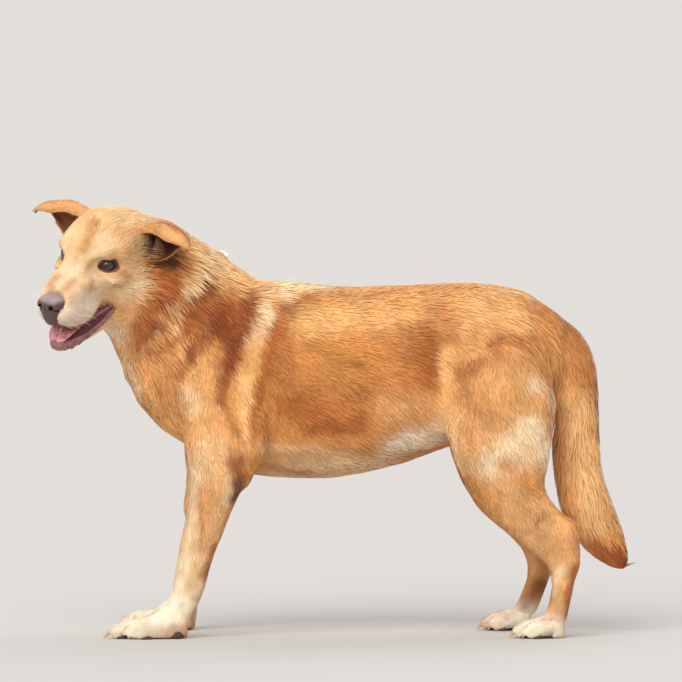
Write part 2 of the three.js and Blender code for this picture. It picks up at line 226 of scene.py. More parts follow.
# Where the coat is fuller than the plain solids: a line in the dog's frame, how far from it, and how much.
COAT_SWELLS = [
    ((-245, 22, 545), (-172, 20, 508), 34, 6),  # nape
    ((262, 20, 448), (322, 20, 395), 34, 5),  # croup
    ((316, 20, 400), (345, 20, 170), 40, 4),  # tail
    ((345, 20, 170), (385, 20, 100), 30, 3),
    ((-262, 20, 370), (-205, 20, 285), 40, 3),  # chest
    ((283, -60, 300), (280, -60, 225), 26, 7),  # rear of the thigh
    ((283, 100, 300), (280, 100, 225), 26, 7),
    ((318, -54, 148), (320, -54, 100), 16, 6),  # hock
    ((280, 92, 148), (282, 92, 100), 16, 5),
    ((-184, 96, 240), (-194, 98, 172), 22, 12),  # front of the right forearm
    ((-142, 100, 150), (-168, 102, 40), 24, -6),  # back of it
    ((-150, -56, 110), (-172, -58, 40), 16, -2),
    ((183, -64, 192), (214, -60, 160), 26, -5),  # shin
    ((302, 20, 420), (335, 20, 370), 30, 3),
]
EYE_MIDDLE = np.array([-11.5, 30.5, 1.0])
EYE_RADIUS = 11.5


def unit(vectors):
    return vectors / (np.linalg.norm(vectors, axis=-1, keepdims=True) + 1e-9)


def across(vectors, normals):
    """The part of each vector that lies in the surface."""
    return unit(vectors - normals * (vectors * normals).sum(-1, keepdims=True))


def folded(points, middle=0.0):
    """Points with y counted outwards from a mid-plane."""
    return np.stack([points[..., 0], np.abs(points[..., 1] - middle), points[..., 2]], axis=-1)


def mirrored(points):
    return folded(points, MIDLINE_Y)


def mirrored_head(points):
    return folded(in_head(points))


def from_line(points, start, stop):
    """The way to each point from the nearest place on the straight line between two others."""
    start, along = np.array(start, float), np.subtract(stop, start)
    passed = np.clip((points - start) @ along / (along @ along), 0, 1)[..., None]
    return points - start - passed * along


def near_block(low, high):
    """The part of the grid between two corners: its window and the places of its voxels."""
    start = np.maximum(((np.array(low) - GRID_LOW) / VOXEL).astype(int), 0)
    stop = np.minimum(((np.array(high) - GRID_LOW) / VOXEL).astype(int) + 1, GRID_SHAPE)
    window = tuple(slice(a, b) for a, b in zip(start, stop))
    return window, grid_points(GRID_LOW + start * VOXEL, stop - start, VOXEL)


def shaped(field, points, forms):
    """The field with each form added or cut, in turn."""
    for kind, middle, reach, softness in forms:
        mass = egg(points, middle, reach)
        field = blend(field, mass, softness) if kind == "add" else hollowed(field, mass, softness)
    return field


for kind, middle, reach, softness in BODY_FORMS:
    for side in (-1, 1):
        place = np.array([middle[0], MIDLINE_Y + side * middle[1], middle[2]])
        margin = np.array(reach) + softness + REACH
        window, places = near_block(place - margin, place + margin)
        coat_top[window] = shaped(coat_top[window], places, [(kind, place, reach, softness)])
for start, stop, spread, amount in COAT_SWELLS:
    margin = 2.2 * spread
    window, places = near_block(np.minimum(start, stop) - margin, np.maximum(start, stop) + margin)
    apart = np.linalg.norm(from_line(places, start, stop), axis=-1)
    coat_top[window] -= (amount * np.exp(-((apart / spread) ** 2))).astype(np.float32)
HEAD_BOX = ((-404, -150, 372), (-190, 70, 586))
window, places = near_block(*HEAD_BOX)
coat_top[window] = shaped(coat_top[window], mirrored_head(places).astype(np.float32), HEAD_FORMS)

# Each kind of foot stands on four toes: their middles across the foot, where the longest end, how much
# shorter the outer ones are, the foot's distance from the mid-plane, the upright line it turns out
# about, its heel, and the reach and middle of the hollow over its instep. Each foot is named for its
# kind and side, with its step to the rear and its turn in degrees.
FOOT_KINDS = {
    "fore": {
        "toes": (-20, -7, 7, 20),
        "tip": -292,
        "outer": 32,
        "stance": 76,
        "pivot": -195,
        "heel": -190,
        "instep": (36, -259),
    },
    "hind": {
        "toes": (-17, -6, 6, 17),
        "tip": 239,
        "outer": 15,
        "stance": 71,
        "pivot": 300,
        "heel": 314,
        "instep": (26, 256),
    },
}
FEET = {
    "fore_left": ("fore", 1, 0, 4),
    "fore_right": ("fore", -1, 5, 14),
    "hind_left": ("hind", 1, 0, 3),
    "hind_right": ("hind", -1, -38, 6),
}


def foot_place(foot):
    """Where a foot's own frame (x to the rear, y across, z up) stands and how it is turned."""
    word, side, step, toe_out = FEET[foot]
    kind = FOOT_KINDS[word]
    angle = math.radians(side * toe_out)
    cos, sin = math.cos(angle), math.sin(angle)
    turn = np.array([[cos, -sin, 0], [sin, cos, 0], [0, 0, 1]])
    pivot = np.array([kind["pivot"], 0, 0])
    return kind, turn, pivot, pivot + [step, MIDLINE_Y - side * kind["stance"], 0]


def on_foot(foot, points):
    """Points of a foot's own frame in the dog's."""
    _, turn, pivot, place = foot_place(foot)
    return (np.asarray(points, float) - pivot) @ turn.T + place


def toe_ends(kind):
    """How far across each toe lies and where it ends."""
    return [(y, kind["tip"] + (kind["outer"] if abs(y) > 10 else 0)) for y in kind["toes"]]


def toe_forms(kind):
    """Cuts that trim the foot, knuckles and balls of the toes, and the clefts between them."""
    tip, outer = kind["tip"], kind["outer"]
    instep_reach, instep_x = kind["instep"]
    forms = [("cut", (instep_x, 0, 56), (instep_reach, 46, 30), 8)]
    for y in (34, -34):  # before an outer toe
        forms.append(("cut", (tip + outer / 2 - 12, y, 12), (outer / 2 + 12, 16, 30), 5))
    forms.append(("cut", (kind["heel"] + 12, 0, 14), (12, 44, 24), 5))
    toes = toe_ends(kind)
    for y, end in toes:
        forms.append(("add", (end + 22, 0.95 * y, 15.5), (12, 6.6, 9), 4))
        forms.append(("add", (end + 9, y, 9.5), (10, 6.4, 9.5), 3))
    for (y, end), (next_y, next_end) in zip(toes, toes[1:]):
        middle = (y + next_y) / 2
        forms.append(("cut", (max(end, next_end) + 12, middle, 17), (22, 2.2, 19), 4))
    return forms


for foot in FEET:
    kind, turn, pivot, place = foot_place(foot)
    middle = on_foot(foot, (kind["tip"] + 50, 0, 20))
    window, places = near_block(middle - 72, middle + 72)
    foot_places = ((places - place) @ turn + pivot).astype(np.float32)
    coat_top[window] = shaped(coat_top[window], foot_places, toe_forms(kind))

# The hair of the neck closes over the collar, so the groove that it lies in doesn't show.
COLLAR_AT = np.array([-209.0, MIDLINE_Y, 427.0])
COLLAR_FACING = np.array([-0.786, 0.0, 0.618])
COLLAR_GROOVE = (5.2, 8.5)  # its depth and half its width in the softened coat
window, places = near_block((-320, -90, 290), (-110, 130, 540))
from_collar = (places - COLLAR_AT) @ COLLAR_FACING
coat_top[window] -= (COLLAR_GROOVE[0] * np.exp(-((from_collar / COLLAR_GROOVE[1]) ** 2))).astype(np.float32)

# ---------- Coat: how it lies ----------
# Each row is a place (y outwards), the way the hair runs there, its length, and the coat's depth over
# the skin. Hair runs from the nose to the tail and down the legs, short on the face and feet.
BODY_LIE = [
    ((-110, 0, 475), (1, 0, -0.15), 24, 3.1),
    ((0, 0, 465), (1, 0, 0), 19.2, 2.6),
    ((130, 0, 470), (1, 0, 0), 19.2, 2.6),
    ((235, 0, 465), (1, 0, -0.4), 19.2, 2.6),
    ((295, 0, 415), (0.5, 0, -1), 21.6, 2.8),
    ((-130, 72, 405), (0.5, 0, -0.85), 19.2, 2.4),
    ((-152, 75, 325), (0.25, 0, -0.97), 16, 2),
    ((-20, 85, 405), (0.92, 0, -0.35), 17.6, 2.4),
    ((20, 97, 335), (0.9, 0, -0.42), 17.6, 2.4),
    ((20, 80, 255), (0.75, -0.2, -0.6), 19.2, 2.4),
    ((-68, 85, 300), (0.75, 0, -0.6), 17.6, 2.4),
    ((100, 90, 390), (0.9, 0, -0.4), 17.6, 2.4),
    ((140, 75, 290), (0.6, 0, -0.8), 19.2, 2.4),
    ((20, 0, 212), (1, 0, -0.05), 19.2, 2),
    ((130, 0, 245), (1, 0, 0), 20.8, 2),
    ((-218, 0, 330), (0.25, 0, -0.95), 24, 3.1),
    ((-196, 50, 300), (0.4, 0, -0.9), 20, 2.8),
    ((-160, 0, 232), (0.8, 0, -0.55), 20, 2.4),
    ((-195, 0, 515), (0.8, 0, -0.42), 28.8, 4.9),
    ((-150, 0, 486), (0.9, 0, -0.3), 27.2, 4.5),
    ((-222, 80, 450), (0.8, 0.05, -0.6), 27.2, 4.9),
    ((-195, 78, 385), (0.5, 0, -0.85), 22.4, 4),
    ((-262, 10, 395), (0.42, 0, -0.9), 21.6, 4),
    ((-148, 90, 260), (0.15, 0, -1), 13.6, 1.9),
    ((-172, 95, 150), (-0.05, 0, -1), 11, 1.7),
    ((-148, 76, 150), (0.2, 0, -1), 12.8, 1.7),
    ((-190, 76, 80), (-0.1, 0, -1), 9, 1.3),
    ((-212, 76, 40), (-0.5, 0, -0.85), 9, 1.2),
    ((-250, 76, 25), (-0.92, 0, -0.3), 7, 1.2),
    ((-104, 80, 215), (0.35, 0, -0.9), 12.8, 1.4),
    ((210, 88, 340), (0.4, 0, -0.9), 17.6, 2.4),
    ((282, 50, 320), (0.3, 0, -0.95), 24, 3.1),
    ((262, 78, 230), (0.35, 0, -0.93), 17.6, 2),
    ((170, 78, 250), (0.3, 0, -0.95), 14.4, 2.1),
    ((235, 80, 190), (0.55, 0, -0.8), 13, 2),
    ((292, 71, 140), (0.35, 0, -0.93), 10, 1.4),
    ((302, 71, 70), (-0.05, 0, -1), 8, 1.2),
    ((265, 71, 20), (-0.95, 0, -0.25), 7, 1.2),
    ((318, 0, 345), (0.15, 0, -1), 26.5, 4.2),
    ((322, 0, 255), (0.05, 0, -1), 34.3, 5),
    ((330, 0, 195), (0.25, 0, -1), 39, 5.5),
    ((358, 0, 132), (0.6, 0, -0.8), 37.4, 5),
    ((385, 0, 96), (0.65, 0, -0.76), 26.5, 2.1),
]
HEAD_LIE = [
    ((60, 0, -14), (-1, 0, 0.15), 4, 1.1),
    ((40, 0, -6), (-1, 0, 0.25), 5, 1.2),
    ((20, 0, 6), (-0.9, 0, 0.6), 6, 1.5),
    ((4, 0, 30), (-0.7, 0, 0.75), 8, 2),
    ((4, 28, 24), (-0.6, 0.5, 0.6), 8, 1.8),
    ((-50, 0, 56), (-1, 0, 0.05), 12, 3),
    ((-60, 35, 45), (-0.9, 0.45, 0), 12, 3),
    ((-108, 0, 45), (-1, 0, -0.35), 18, 4.2),
    ((48, 25, -38), (-1, 0.15, -0.2), 4.5, 1.1),
    ((30, 20, -70), (-0.85, 0.1, -0.5), 5, 1.1),
    ((56, 0, -108), (-1, 0, -0.2), 7, 1.6),
    ((12, 38, -16), (-0.92, 0.3, -0.2), 6, 1.4),
    ((-8, 44, -14), (-0.9, 0.2, -0.4), 7, 1.5),
    ((-30, 50, -32), (-0.92, 0.1, -0.35), 12.3, 2.2),
    ((-70, 58, -38), (-0.9, 0, -0.5), 20.5, 4.2),
    ((-32, 50, 18), (-0.92, 0.3, 0.15), 9, 2.2),
    ((-85, 58, -8), (-0.85, 0, -0.55), 18, 4.2),
    ((-20, 0, -108), (-1, 0, -0.35), 14.8, 2.8),
    ((-62, 0, -118), (-0.9, 0, -0.6), 20.5, 4.9),
    ((4, 28, -92), (-1, 0, -0.15), 8, 2),
]
LIE_SPREAD = {"body": 42.0, "head": 18.0}
HEAD_PLANE = (np.array([-252.0, 10.0, 470.0]), np.array([-0.93, -0.25, 0.26]))  # a point, and its facing


def head_share(points):
    """1 on the head, 0 on the body, and between the two just behind the skull."""
    point, facing = HEAD_PLANE
    along = (points - point) @ (facing / np.linalg.norm(facing))
    return smooth_step(-18, 22, along)


def nearness(points, places, spread):
    """How much each of a table's places counts at each point; the shares add up to 1."""
    apart = ((points[:, None, :] - places[None, :, :]) ** 2).sum(-1)
    apart -= apart.min(1, keepdims=True)
    shares = np.exp(-0.5 * apart / spread**2)
    return shares / shares.sum(1, keepdims=True)


def lie_from(table, points, spread):
    """A table's way, length and depth at some points."""
    places = np.array([row[0] for row in table], float)
    values = np.array([(*row[1], row[2], row[3]) for row in table], float)
    return nearness(points, places, spread) @ values


def coat_lie(points):
    """The way the hair runs, its length and the coat's depth at some points near the skin."""
    body = lie_from(BODY_LIE, mirrored(points), LIE_SPREAD["body"])
    body[:, 1] *= np.where(points[:, 1] > MIDLINE_Y, 1.0, -1.0)
    head = lie_from(HEAD_LIE, mirrored_head(points), LIE_SPREAD["head"])
    head[:, 1] *= np.sign(in_head(points)[:, 1])
    head[:, :3] = head[:, :3] @ HEAD_TURN.T
    mixed = between(body, head, head_share(points)[:, None])
    return mixed[:, :3], mixed[:, 3], mixed[:, 4]


def sampled(field, points, low=GRID_LOW, voxel=VOXEL):
    """The field's value at any points, from the eight voxels round each."""
    place = (points - low) / voxel
    place = np.clip(place, 0, np.array(field.shape[:3]) - 1.001)
    corner = place.astype(int)
    part = place - corner
    total = 0
    for step in np.ndindex(2, 2, 2):
        weight = np.prod(np.where(step, part, 1 - part), axis=1)
        x, y, z = (corner + step).T
        value = field[x, y, z]
        total = total + (weight[:, None] * value if value.ndim > 1 else weight * value)
    return total


def outward_normal(field, points):
    """The way straight out of the field's surface at any points."""
    slopes = []
    for axis in range(3):
        step = np.zeros(3)
        step[axis] = 1.5 * VOXEL
        slopes.append(sampled(field, points + step) - sampled(field, points - step))
    return unit(np.stack(slopes, axis=1))


# The coat's depth is worked out on every fourth voxel, then spread over the grid.
COARSE = 4
DEPTH_ELSEWHERE = 5.0
coarse_shape = tuple(int(n) for n in np.ceil(np.array(GRID_SHAPE) / COARSE) + 1)
coarse_places = grid_points(GRID_LOW, coarse_shape, VOXEL * COARSE).reshape(-1, 3)
near_skin = np.abs(sampled(coat_top, coarse_places)) < REACH - 1
coarse_depth = np.full(len(coarse_places), DEPTH_ELSEWHERE)
coarse_depth[near_skin] = coat_lie(coarse_places[near_skin])[2]
coarse_depth = coarse_depth.reshape(coarse_shape)
depth = coarse_depth
for axis in range(3):
    at = np.arange(GRID_SHAPE[axis]) / COARSE
    first = at.astype(int)
    part_shape = [-1 if a == axis else 1 for a in range(3)]
    part = (at - first).reshape(part_shape)
    depth = np.take(depth, first, axis) * (1 - part) + np.take(depth, first + 1, axis) * part
hide = (coat_top + depth).astype(np.float32)

# The sockets, the mouth and the seat of the nose are cut out of the hide itself.
MOUTH_X = [-34, -25, 2, 31, 58, 72, 84]
MOUTH_TOP = [-58, -57, -66, -75, -72, -66, -64]
MOUTH_FLOOR = [-60, -64, -84, -95, -97, -92, -92]
MOUTH_HALF_WIDTH = [30, 34, 27, 20, 14, 8, 4]
NOSE_MIDDLE = (71, 0, -37)
NOSE_SEAT = ((76, 0, -38), (15, 14, 12))
LID_SPAN = (3.0, -1.0, 18.5, 10.5)  # towards the nose and up: the rims' middle, and their reaches
EYE_OPENING = (12, (9, 9, 7))  # how far before the eye's middle, and its reaches
ELBOW_CALLUS = np.array([-127.0, 92.0, 198.0])

window, places = near_block(*HEAD_BOX)
head_places = mirrored_head(places).astype(np.float32)
EYE_AXIS = unit(np.array([9.0, 4.2, 0.6]))
EYE_UP = across(np.array([0.0, 0.0, 1.0]), EYE_AXIS)
EYE_MEDIAL = np.cross(EYE_UP, EYE_AXIS)
EYE_MEDIAL *= np.sign(-EYE_MEDIAL[1])  # towards the nose
face = blend(hide[window], egg(head_places, EYE_MIDDLE, [EYE_RADIUS + 0.6] * 3), 6)
face = hollowed(face, egg(head_places, EYE_MIDDLE + EYE_OPENING[0] * EYE_AXIS, EYE_OPENING[1]), 2)
face = hollowed(face, egg(head_places, EYE_MIDDLE, [EYE_RADIUS + 0.2] * 3), 1.5)
hide[window] = hollowed(face, egg(head_places, *NOSE_SEAT), 3)


def mouth_share(head_points):
    """1 inside the open mouth and on its lining, 0 outside the lips."""
    x, y, z = np.moveaxis(head_points, -1, 0)
    top = np.interp(x, MOUTH_X, MOUTH_TOP) + 3
    low = np.interp(x, MOUTH_X, MOUTH_FLOOR) - 2
    wide = np.interp(x, MOUTH_X, MOUTH_HALF_WIDTH)
    inside = np.minimum(np.minimum(top - z, z - low), np.minimum(wide - np.abs(y), x - MOUTH_X[0]))
    inside = np.minimum(inside, MOUTH_X[-1] - x)
    return np.clip(0.5 + inside / 3, 0, 1)


# ---------- Skin: its markings ----------
# Undyed hair: cream on the muzzle, brow, ruff and feet, gold along the back, fawn to rust on the sides.
FAWN = "#d5924f"
CREAM = "#f4d8b0"
GOLD = "#f0b977"
TAN = "#cd8748"
RUST = "#aa5e2c"
DARK_RUST = "#823c1b"
WHITE = "#f5e6cf"
GREY = "#cbb49c"
ORANGE = "#cf8642"
BLACK_BROWN = "#3f2c25"
# Each row is a stroke of colour, painted over the ones before it: where it starts and ends (y outwards),
# how far it reaches, its colour and how strongly it shows.
BODY_MARKS = [
    ((-60, 95, 340), (110, 95, 335), 66, TAN, 0.9),  # sides of the trunk
    ((-50, 98, 315), (95, 98, 310), 34, RUST, 0.4),
    ((-160, 0, 486), (250, 0, 468), 34, "#f5c68a", 0.9),  # back
    ((-43, 40, 455), (182, 40, 460), 16, "#de9c58", 0.6),
    ((190, 92, 400), (225, 92, 290), 58, "#d89f64", 0.85),  # thigh
    ((-220, 40, 390), (-190, 60, 262), 50, GOLD, 0.6),  # chest
    ((-70, 30, 214), (100, 30, 238), 26, "#cb9a69", 0.8),  # belly
    ((-165, 76, 235), (-190, 76, 60), 36, "#e6bf8e", 0.9),  # forelegs
    ((225, 84, 235), (302, 76, 60), 36, "#dba873", 0.8),  # hind legs
    ((-110, 30, 250), (-150, 60, 190), 34, TAN, 0.5),  # between the legs
    ((190, 40, 300), (250, 50, 230), 26, RUST, 0.35),
    ((-43, 86, 418), (100, 80, 424), 20, GOLD, 0.85),  # upper ribs
    ((-63, 98, 350), (116, 92, 363), 20, TAN, 0.6),
    ((-59, 98, 308), (-16, 98, 295), 18, RUST, 0.75),
    ((-34, 92, 274), (32, 92, 286), 10, RUST, 0.75),
    ((92, 92, 405), (105, 92, 358), 16, RUST, 0.6),  # flank
    # Rust, deepened with painted shade of the crease before the thigh.
    ((122, 92, 408), (126, 88, 345), 14, RUST, 0.85),
    ((45, 96, 412), (100, 94, 382), 17, "#b97242", 0.4),
    ((-93, 80, 251), (16, 70, 238), 12, CREAM, 0.3),
    ((-80, 20, 214), (60, 20, 222), 22, "#e9c79c", 0.75),
    ((-102, 60, 227), (-35, 40, 214), 6, RUST, 0.55),
    ((40, 80, 243), (65, 80, 265), 6, RUST, 0.6),
    ((65, 80, 265), (113, 80, 278), 6, RUST, 0.55),
    ((70, 92, 304), (126, 88, 300), 22, "#dda46a", 0.75),
    ((74, 70, 254), (136, 66, 266), 16, "#efdfc6", 0.8),  # groin
    ((146, 90, 292), (168, 92, 238), 14, "#f2c992", 0.8),
    # Rust, deepened with painted shade of the crease before the thigh.
    ((134, 90, 396), (137, 88, 348), 6, "#94502a", 0.75),
    ((-182, 76, 350), (-168, 80, 298), 24, "#e0a768", 0.85),  # front of the shoulder
    ((-228, 60, 340), (-195, 70, 261), 20, "#dfa366", 0.6),
    ((-193, 76, 324), (-178, 80, 308), 14, CREAM, 0.5),
    ((-172, 72, 426), (-126, 70, 432), 27, "#9c5226", 0.92),  # shoulder
    ((-112, 74, 452), (-115, 86, 388), 11, DARK_RUST, 0.8),
    ((-152, 80, 420), (-126, 86, 392), 17, DARK_RUST, 0.85),
    ((-127, 88, 392), (-137, 88, 359), 12, DARK_RUST, 0.9),
    ((-137, 88, 359), (-145, 88, 316), 8, DARK_RUST, 0.75),
    ((-145, 88, 314), (-126, 92, 274), 7, DARK_RUST, 0.55),
    ((-158, 82, 401), (-184, 82, 378), 8, DARK_RUST, 0.75),
    ((-184, 80, 378), (-204, 72, 353), 7, DARK_RUST, 0.7),
    ((-86, 60, 464), (-89, 85, 421), 12, CREAM, 0.75),  # pale band behind the shoulder
    ((-89, 85, 421), (-105, 92, 386), 11, CREAM, 0.65),
    ((-105, 92, 386), (-117, 92, 342), 11, "#dfa565", 0.95),
    ((-117, 92, 342), (-112, 92, 261), 10, GOLD, 0.9),
    ((-60, 80, 432), (-68, 92, 345), 12, "#a8602f", 0.55),
    ((-65, 80, 437), (-79, 92, 399), 8, RUST, 0.9),  # rust edge behind that
    ((-79, 92, 399), (-96, 92, 324), 9, RUST, 0.85),
    ((-96, 92, 324), (-105, 88, 261), 8, RUST, 0.85),
    ((-65, 34, 466), (-14, 20, 466), 13, "#f8dfb4", 0.9),  # withers
    ((-63, 60, 463), (-60, 70, 445), 9, CREAM, 0.85),
    ((-64, 78, 434), (-19, 70, 456), 8, RUST, 0.85),
    ((-150, 20, 500), (-180, 20, 530), 24, "#f5cb95", 0.85),  # nape
    ((-222, 76, 492), (-218, 80, 462), 18, RUST, 0.95),  # below the ear
    ((-218, 80, 462), (-240, 82, 430), 16, RUST, 0.9),
    ((-240, 82, 430), (-256, 66, 395), 16, RUST, 0.85),  # throat
    ((-265, 66, 400), (-268, 40, 365), 13, RUST, 0.8),
    ((-212, 80, 447), (-230, 80, 425), 5, GOLD, 0.5),
    ((-204, 78, 478), (-224, 82, 440), 5, DARK_RUST, 0.7),
    ((-224, 82, 440), (-242, 80, 402), 5.5, DARK_RUST, 0.7),
    ((-230, 80, 414), (-248, 73, 393), 6, DARK_RUST, 0.75),
    ((-214, 70, 362), (-202, 74, 300), 11, "#b9763f", 0.6),
    ((-229, 60, 332), (-221, 64, 298), 9, "#b9763f", 0.6),
    ((-280, 40, 385), (-262, 50, 325), 12, "#f3d7ae", 0.75),
    ((-166, 50, 508), (-175, 60, 478), 13, "#f2cf9f", 0.85),  # pale edge of the ruff
    ((-175, 60, 478), (-190, 76, 446), 11, "#f2cf9f", 0.8),
    ((-196, 76, 438), (-208, 80, 404), 7, CREAM, 0.4),
    ((-200, 78, 448), (-222, 80, 408), 6, "#8a4a24", 0.7),
    # Along the collar's groove behind the ruff: rust fur, darkened with painted shade.
    ((-152, 50, 492), (-166, 66, 462), 7, DARK_RUST, 0.8),  # groove behind the ruff
    ((-166, 66, 462), (-190, 80, 432), 9, DARK_RUST, 0.9),
    ((-188, 80, 432), (-192, 82, 400), 9, RUST, 0.85),
    ((-194, 82, 400), (-240, 60, 376), 8, RUST, 0.75),
    ((148, 92, 386), (150, 92, 287), 11, GOLD, 0.9),  # front of the thigh
    ((146, 88, 437), (150, 90, 403), 12, RUST, 0.6),
    ((182, 78, 431), (248, 76, 421), 22, GOLD, 0.75),  # rump
    ((171, 94, 348), (221, 92, 371), 10, RUST, 0.6),
    ((214, 88, 386), (263, 80, 395), 10, RUST, 0.55),
    ((254, 50, 447), (303, 30, 411), 12, RUST, 0.5),  # croup
    ((184, 95, 307), (203, 95, 274), 14, RUST, 0.2),
    ((165, 92, 298), (205, 95, 262), 13, "#efc28d", 0.3),
    ((264, 84, 248), (240, 90, 222), 12, "#f3d8ae", 0.6),
    ((258, 84, 335), (286, 60, 308), 13, "#f0dcbc", 0.75),  # pale patches of the thigh
    ((263, 84, 284), (280, 64, 240), 17, "#f6e2c2", 0.85),
    ((252, 88, 272), (205, 92, 232), 19, "#f3d8ae", 0.85),
    ((226, 94, 234), (263, 92, 200), 11, ORANGE, 0.6),  # calf
    ((263, 90, 200), (280, 76, 206), 10, ORANGE, 0.5),
    ((218, 92, 197), (263, 86, 166), 3.5, DARK_RUST, 0.6),
    ((280, 88, 183), (300, 80, 143), 10, GOLD, 0.6),
    ((317, 76, 133), (322, 76, 114), 8, "#c88a68", 0.75),  # hock
    ((300, 76, 95), (290, 76, 60), 7, CREAM, 0.7),
    ((300, 76, 91), (297, 76, 80), 4, GREY, 0.6),
    ((319, 76, 91), (308, 76, 28), 6, RUST, 0.85),
    # Rust, deepened with painted shade, on the inner sides of the hind legs, where the far one is shaded.
    ((290, 38, 112), (282, 40, 62), 13, "#8e4f2a", 0.85),  # inside the far hock
    ((282, 40, 60), (262, 40, 40), 12, "#8e4f2a", 0.8),
    ((-180, 84, 222), (-193, 84, 104), 9, CREAM, 0.8),  # fronts of the forelegs
    ((-193, 84, 104), (-207, 84, 52), 11, CREAM, 0.95),
    ((-166, 84, 186), (-170, 84, 128), 12, TAN, 0.55),
    ((-156, 82, 124), (-171, 82, 86), 6, RUST, 0.9),
    ((-175, 80, 78), (-180, 80, 45), 7, CREAM, 0.6),
    ((-134, 92, 212), (-140, 92, 185), 8, CREAM, 0.7),  # elbow
    ((-131, 96, 238), (-128, 96, 218), 10, "#98502c", 0.85),
    ((-128, 92, 206), (-128, 92, 190), 9.5, "#6a4335", 0.95),
    ((-212, 76, 40), (-270, 76, 12), 32, "#f6e8d0", 0.95),  # forefeet
    ((296, 76, 6), (255, 76, 12), 21, WHITE, 0.95),  # hind feet
    ((262, 71, 16), (225, 60, 14), 24, WHITE, 0.9),
    # Rust with painted shade, on the inner side of the hind foot.
    ((278, 38, 64), (258, 38, 34), 10, "#8e4f2a", 0.8),
    ((316, 0, 400), (345, 0, 160), 30, GOLD, 0.6),  # tail
    ((284, 0, 396), (288, 0, 332), 6, RUST, 0.75),
    ((288, 0, 332), (288, 0, 250), 5, RUST, 0.3),
    ((312, 0, 396), (334, 0, 344), 22, RUST, 0.7),
    ((318, 0, 300), (343, 0, 160), 24, "#e6b97f", 0.75),
    ((345, 0, 343), (350, 0, 269), 5, DARK_RUST, 0.95),
    ((346, 0, 125), (382, 0, 98), 13, RUST, 0.95),
    ((369, 0, 114), (390, 0, 96), 10, DARK_RUST, 0.8),
    ((281, 50, 352), (283, 40, 343), 4.5, BLACK_BROWN, 0.9),
    ((26, 98, 367), (38, 98, 364), 4, "#8f5527", 0.6),  # whorl on the ribs
    ((46, 98, 376), (58, 98, 369), 3.5, "#8f5527", 0.55),
    ((38, 98, 356), (52, 98, 358), 3, "#9a5f2e", 0.4),
]
HEAD_MARKS = [
    ((-70, 0, 20), (40, 0, -20), 80, "#efc793", 0.9),
    ((-60, 20, 50), (-90, 20, 45), 30, "#f0c896", 0.8),  # crown
    ((-8, 26, 30), (8, 22, 16), 16, "#f0d4a6", 0.8),  # brow
    ((-4, 4, 34), (30, 4, 4), 12, "#efcd9c", 0.6),
    ((30, 6, -4), (56, 6, -14), 14, "#f4d9b4", 0.75),  # muzzle
    ((20, 30, -40), (62, 10, -55), 24, "#f0e1ce", 0.9),
    # Painted shade along the fold from the eye to the lip.
    ((20, 28, -2), (17, 32, -26), 3.5, "#c08c5e", 0.55),
    ((36, 26, -62), (60, 12, -58), 12, "#d9c6b2", 0.5),
    ((60, 12, -14), (44, 14, -10), 7, "#cd926a", 0.75),  # bridge of the nose
    # Painted shade of the groove before the eye.
    ((34, 24, -20), (12, 32, -20), 7, "#cf9c6c", 0.7),
    ((22, 27, -8), (2, 40, -22), 8, "#eed2aa", 0.8),  # below the eye
    ((-13, 50, -9), (-26, 57, -16), 4.5, RUST, 0.5),
    ((-20, 48, -34), (-44, 62, -32), 17, "#f2d3a8", 0.85),  # cheek
    ((-40, 58, 2), (-56, 60, 6), 12, "#efc793", 0.6),
    ((-68, 62, -4), (-66, 88, -42), 15, RUST, 0.95),  # below the ear
    ((-56, 70, -52), (-40, 60, -86), 12, RUST, 0.85),
    ((-62, 78, -64), (-50, 74, -88), 5, DARK_RUST, 0.6),
    ((-30, 20, -104), (10, 12, -98), 22, "#f6e2c4", 0.85),  # chin and lower cheek
    ((-28, 44, -92), (-34, 24, -106), 12, "#e2bd8e", 0.6),
]
LEFT_HEAD_MARKS = [
    ((-16, 0, 42), (14, 8, 24), 8, "#d99c4e", 0.75),  # streak of the forehead
    ((-30, 36, 38), (-58, 42, 36), 9, "#dfa468", 0.55),
]
EAR_HOLE = ((-87, 58, 11), (19, 13, 17))  # its middle and reaches
# Painted shade fills the ear's opening, where no hair grows.
EAR_HOLE_SHADE_MARKS = [
    ((-83, 53, 20), (-81, 66, -1), 16.5, "#4d2b1e", 0.96),
    ((-98, 54, 12), (-97, 66, -2), 16, "#4d2b1e", 0.95),
    ((-85, 68, 7), (-85, 77, 2), 12, "#4d2b1e", 0.95),
]
SIDEWAYS = 0.4  # how much a stroke's distance counts across the body
# How far the strokes' edges wander, and how much the tone does: reach, size of the waves, and a shift
# that keeps them from falling in step.
EDGE_DRIFT = [(3, 30, 0), (2, 11, 57)]
MOTTLE = [(0.09, 9, 0), (0.07, 22, 31)]


def linear(code):
    """An sRGB hex colour as the linear colour that shaders take."""
    parts = np.array([int(code[i : i + 2], 16) for i in (1, 3, 5)]) / 255
    return np.where(parts <= 0.04045, parts / 12.92, ((parts + 0.055) / 1.055) ** 2.4)


chance = np.random.default_rng(7)
LATTICE = 40
lattices = np.stack([chance.normal(size=(LATTICE,) * 3) for _ in range(3)], axis=-1).astype(np.float32)


def wander(points, size):
    """Three smooth random values at each point, whose waves are about that size."""
    place = points / size + 1000.0
    corner = np.floor(place).astype(int)
    part = place - corner
    part = part * part * (3 - 2 * part)
    total = np.zeros((len(points), 3))
    for step in np.ndindex(2, 2, 2):
        weight = np.prod(np.where(step, part, 1 - part), axis=1)
        x, y, z = ((corner + step) % LATTICE).T
        total += weight[:, None] * lattices[x, y, z]
    return total


def wanders(points, rows):
    return sum(reach * wander(points + shift, size) for reach, size, shift in rows)


def marked(colours, places, strokes, sideways=1.0):
    """The colours with strokes painted over them; `sideways` is how much distance across the body counts."""
    for start, stop, reach, code, strength in strokes:
        offset = from_line(places, start, stop) * [1, sideways, 1]
        share = strength * np.exp(-0.8 * (np.linalg.norm(offset, axis=1) / reach) ** 3)
        colours = between(colours, linear(code), share[:, None])
    return colours


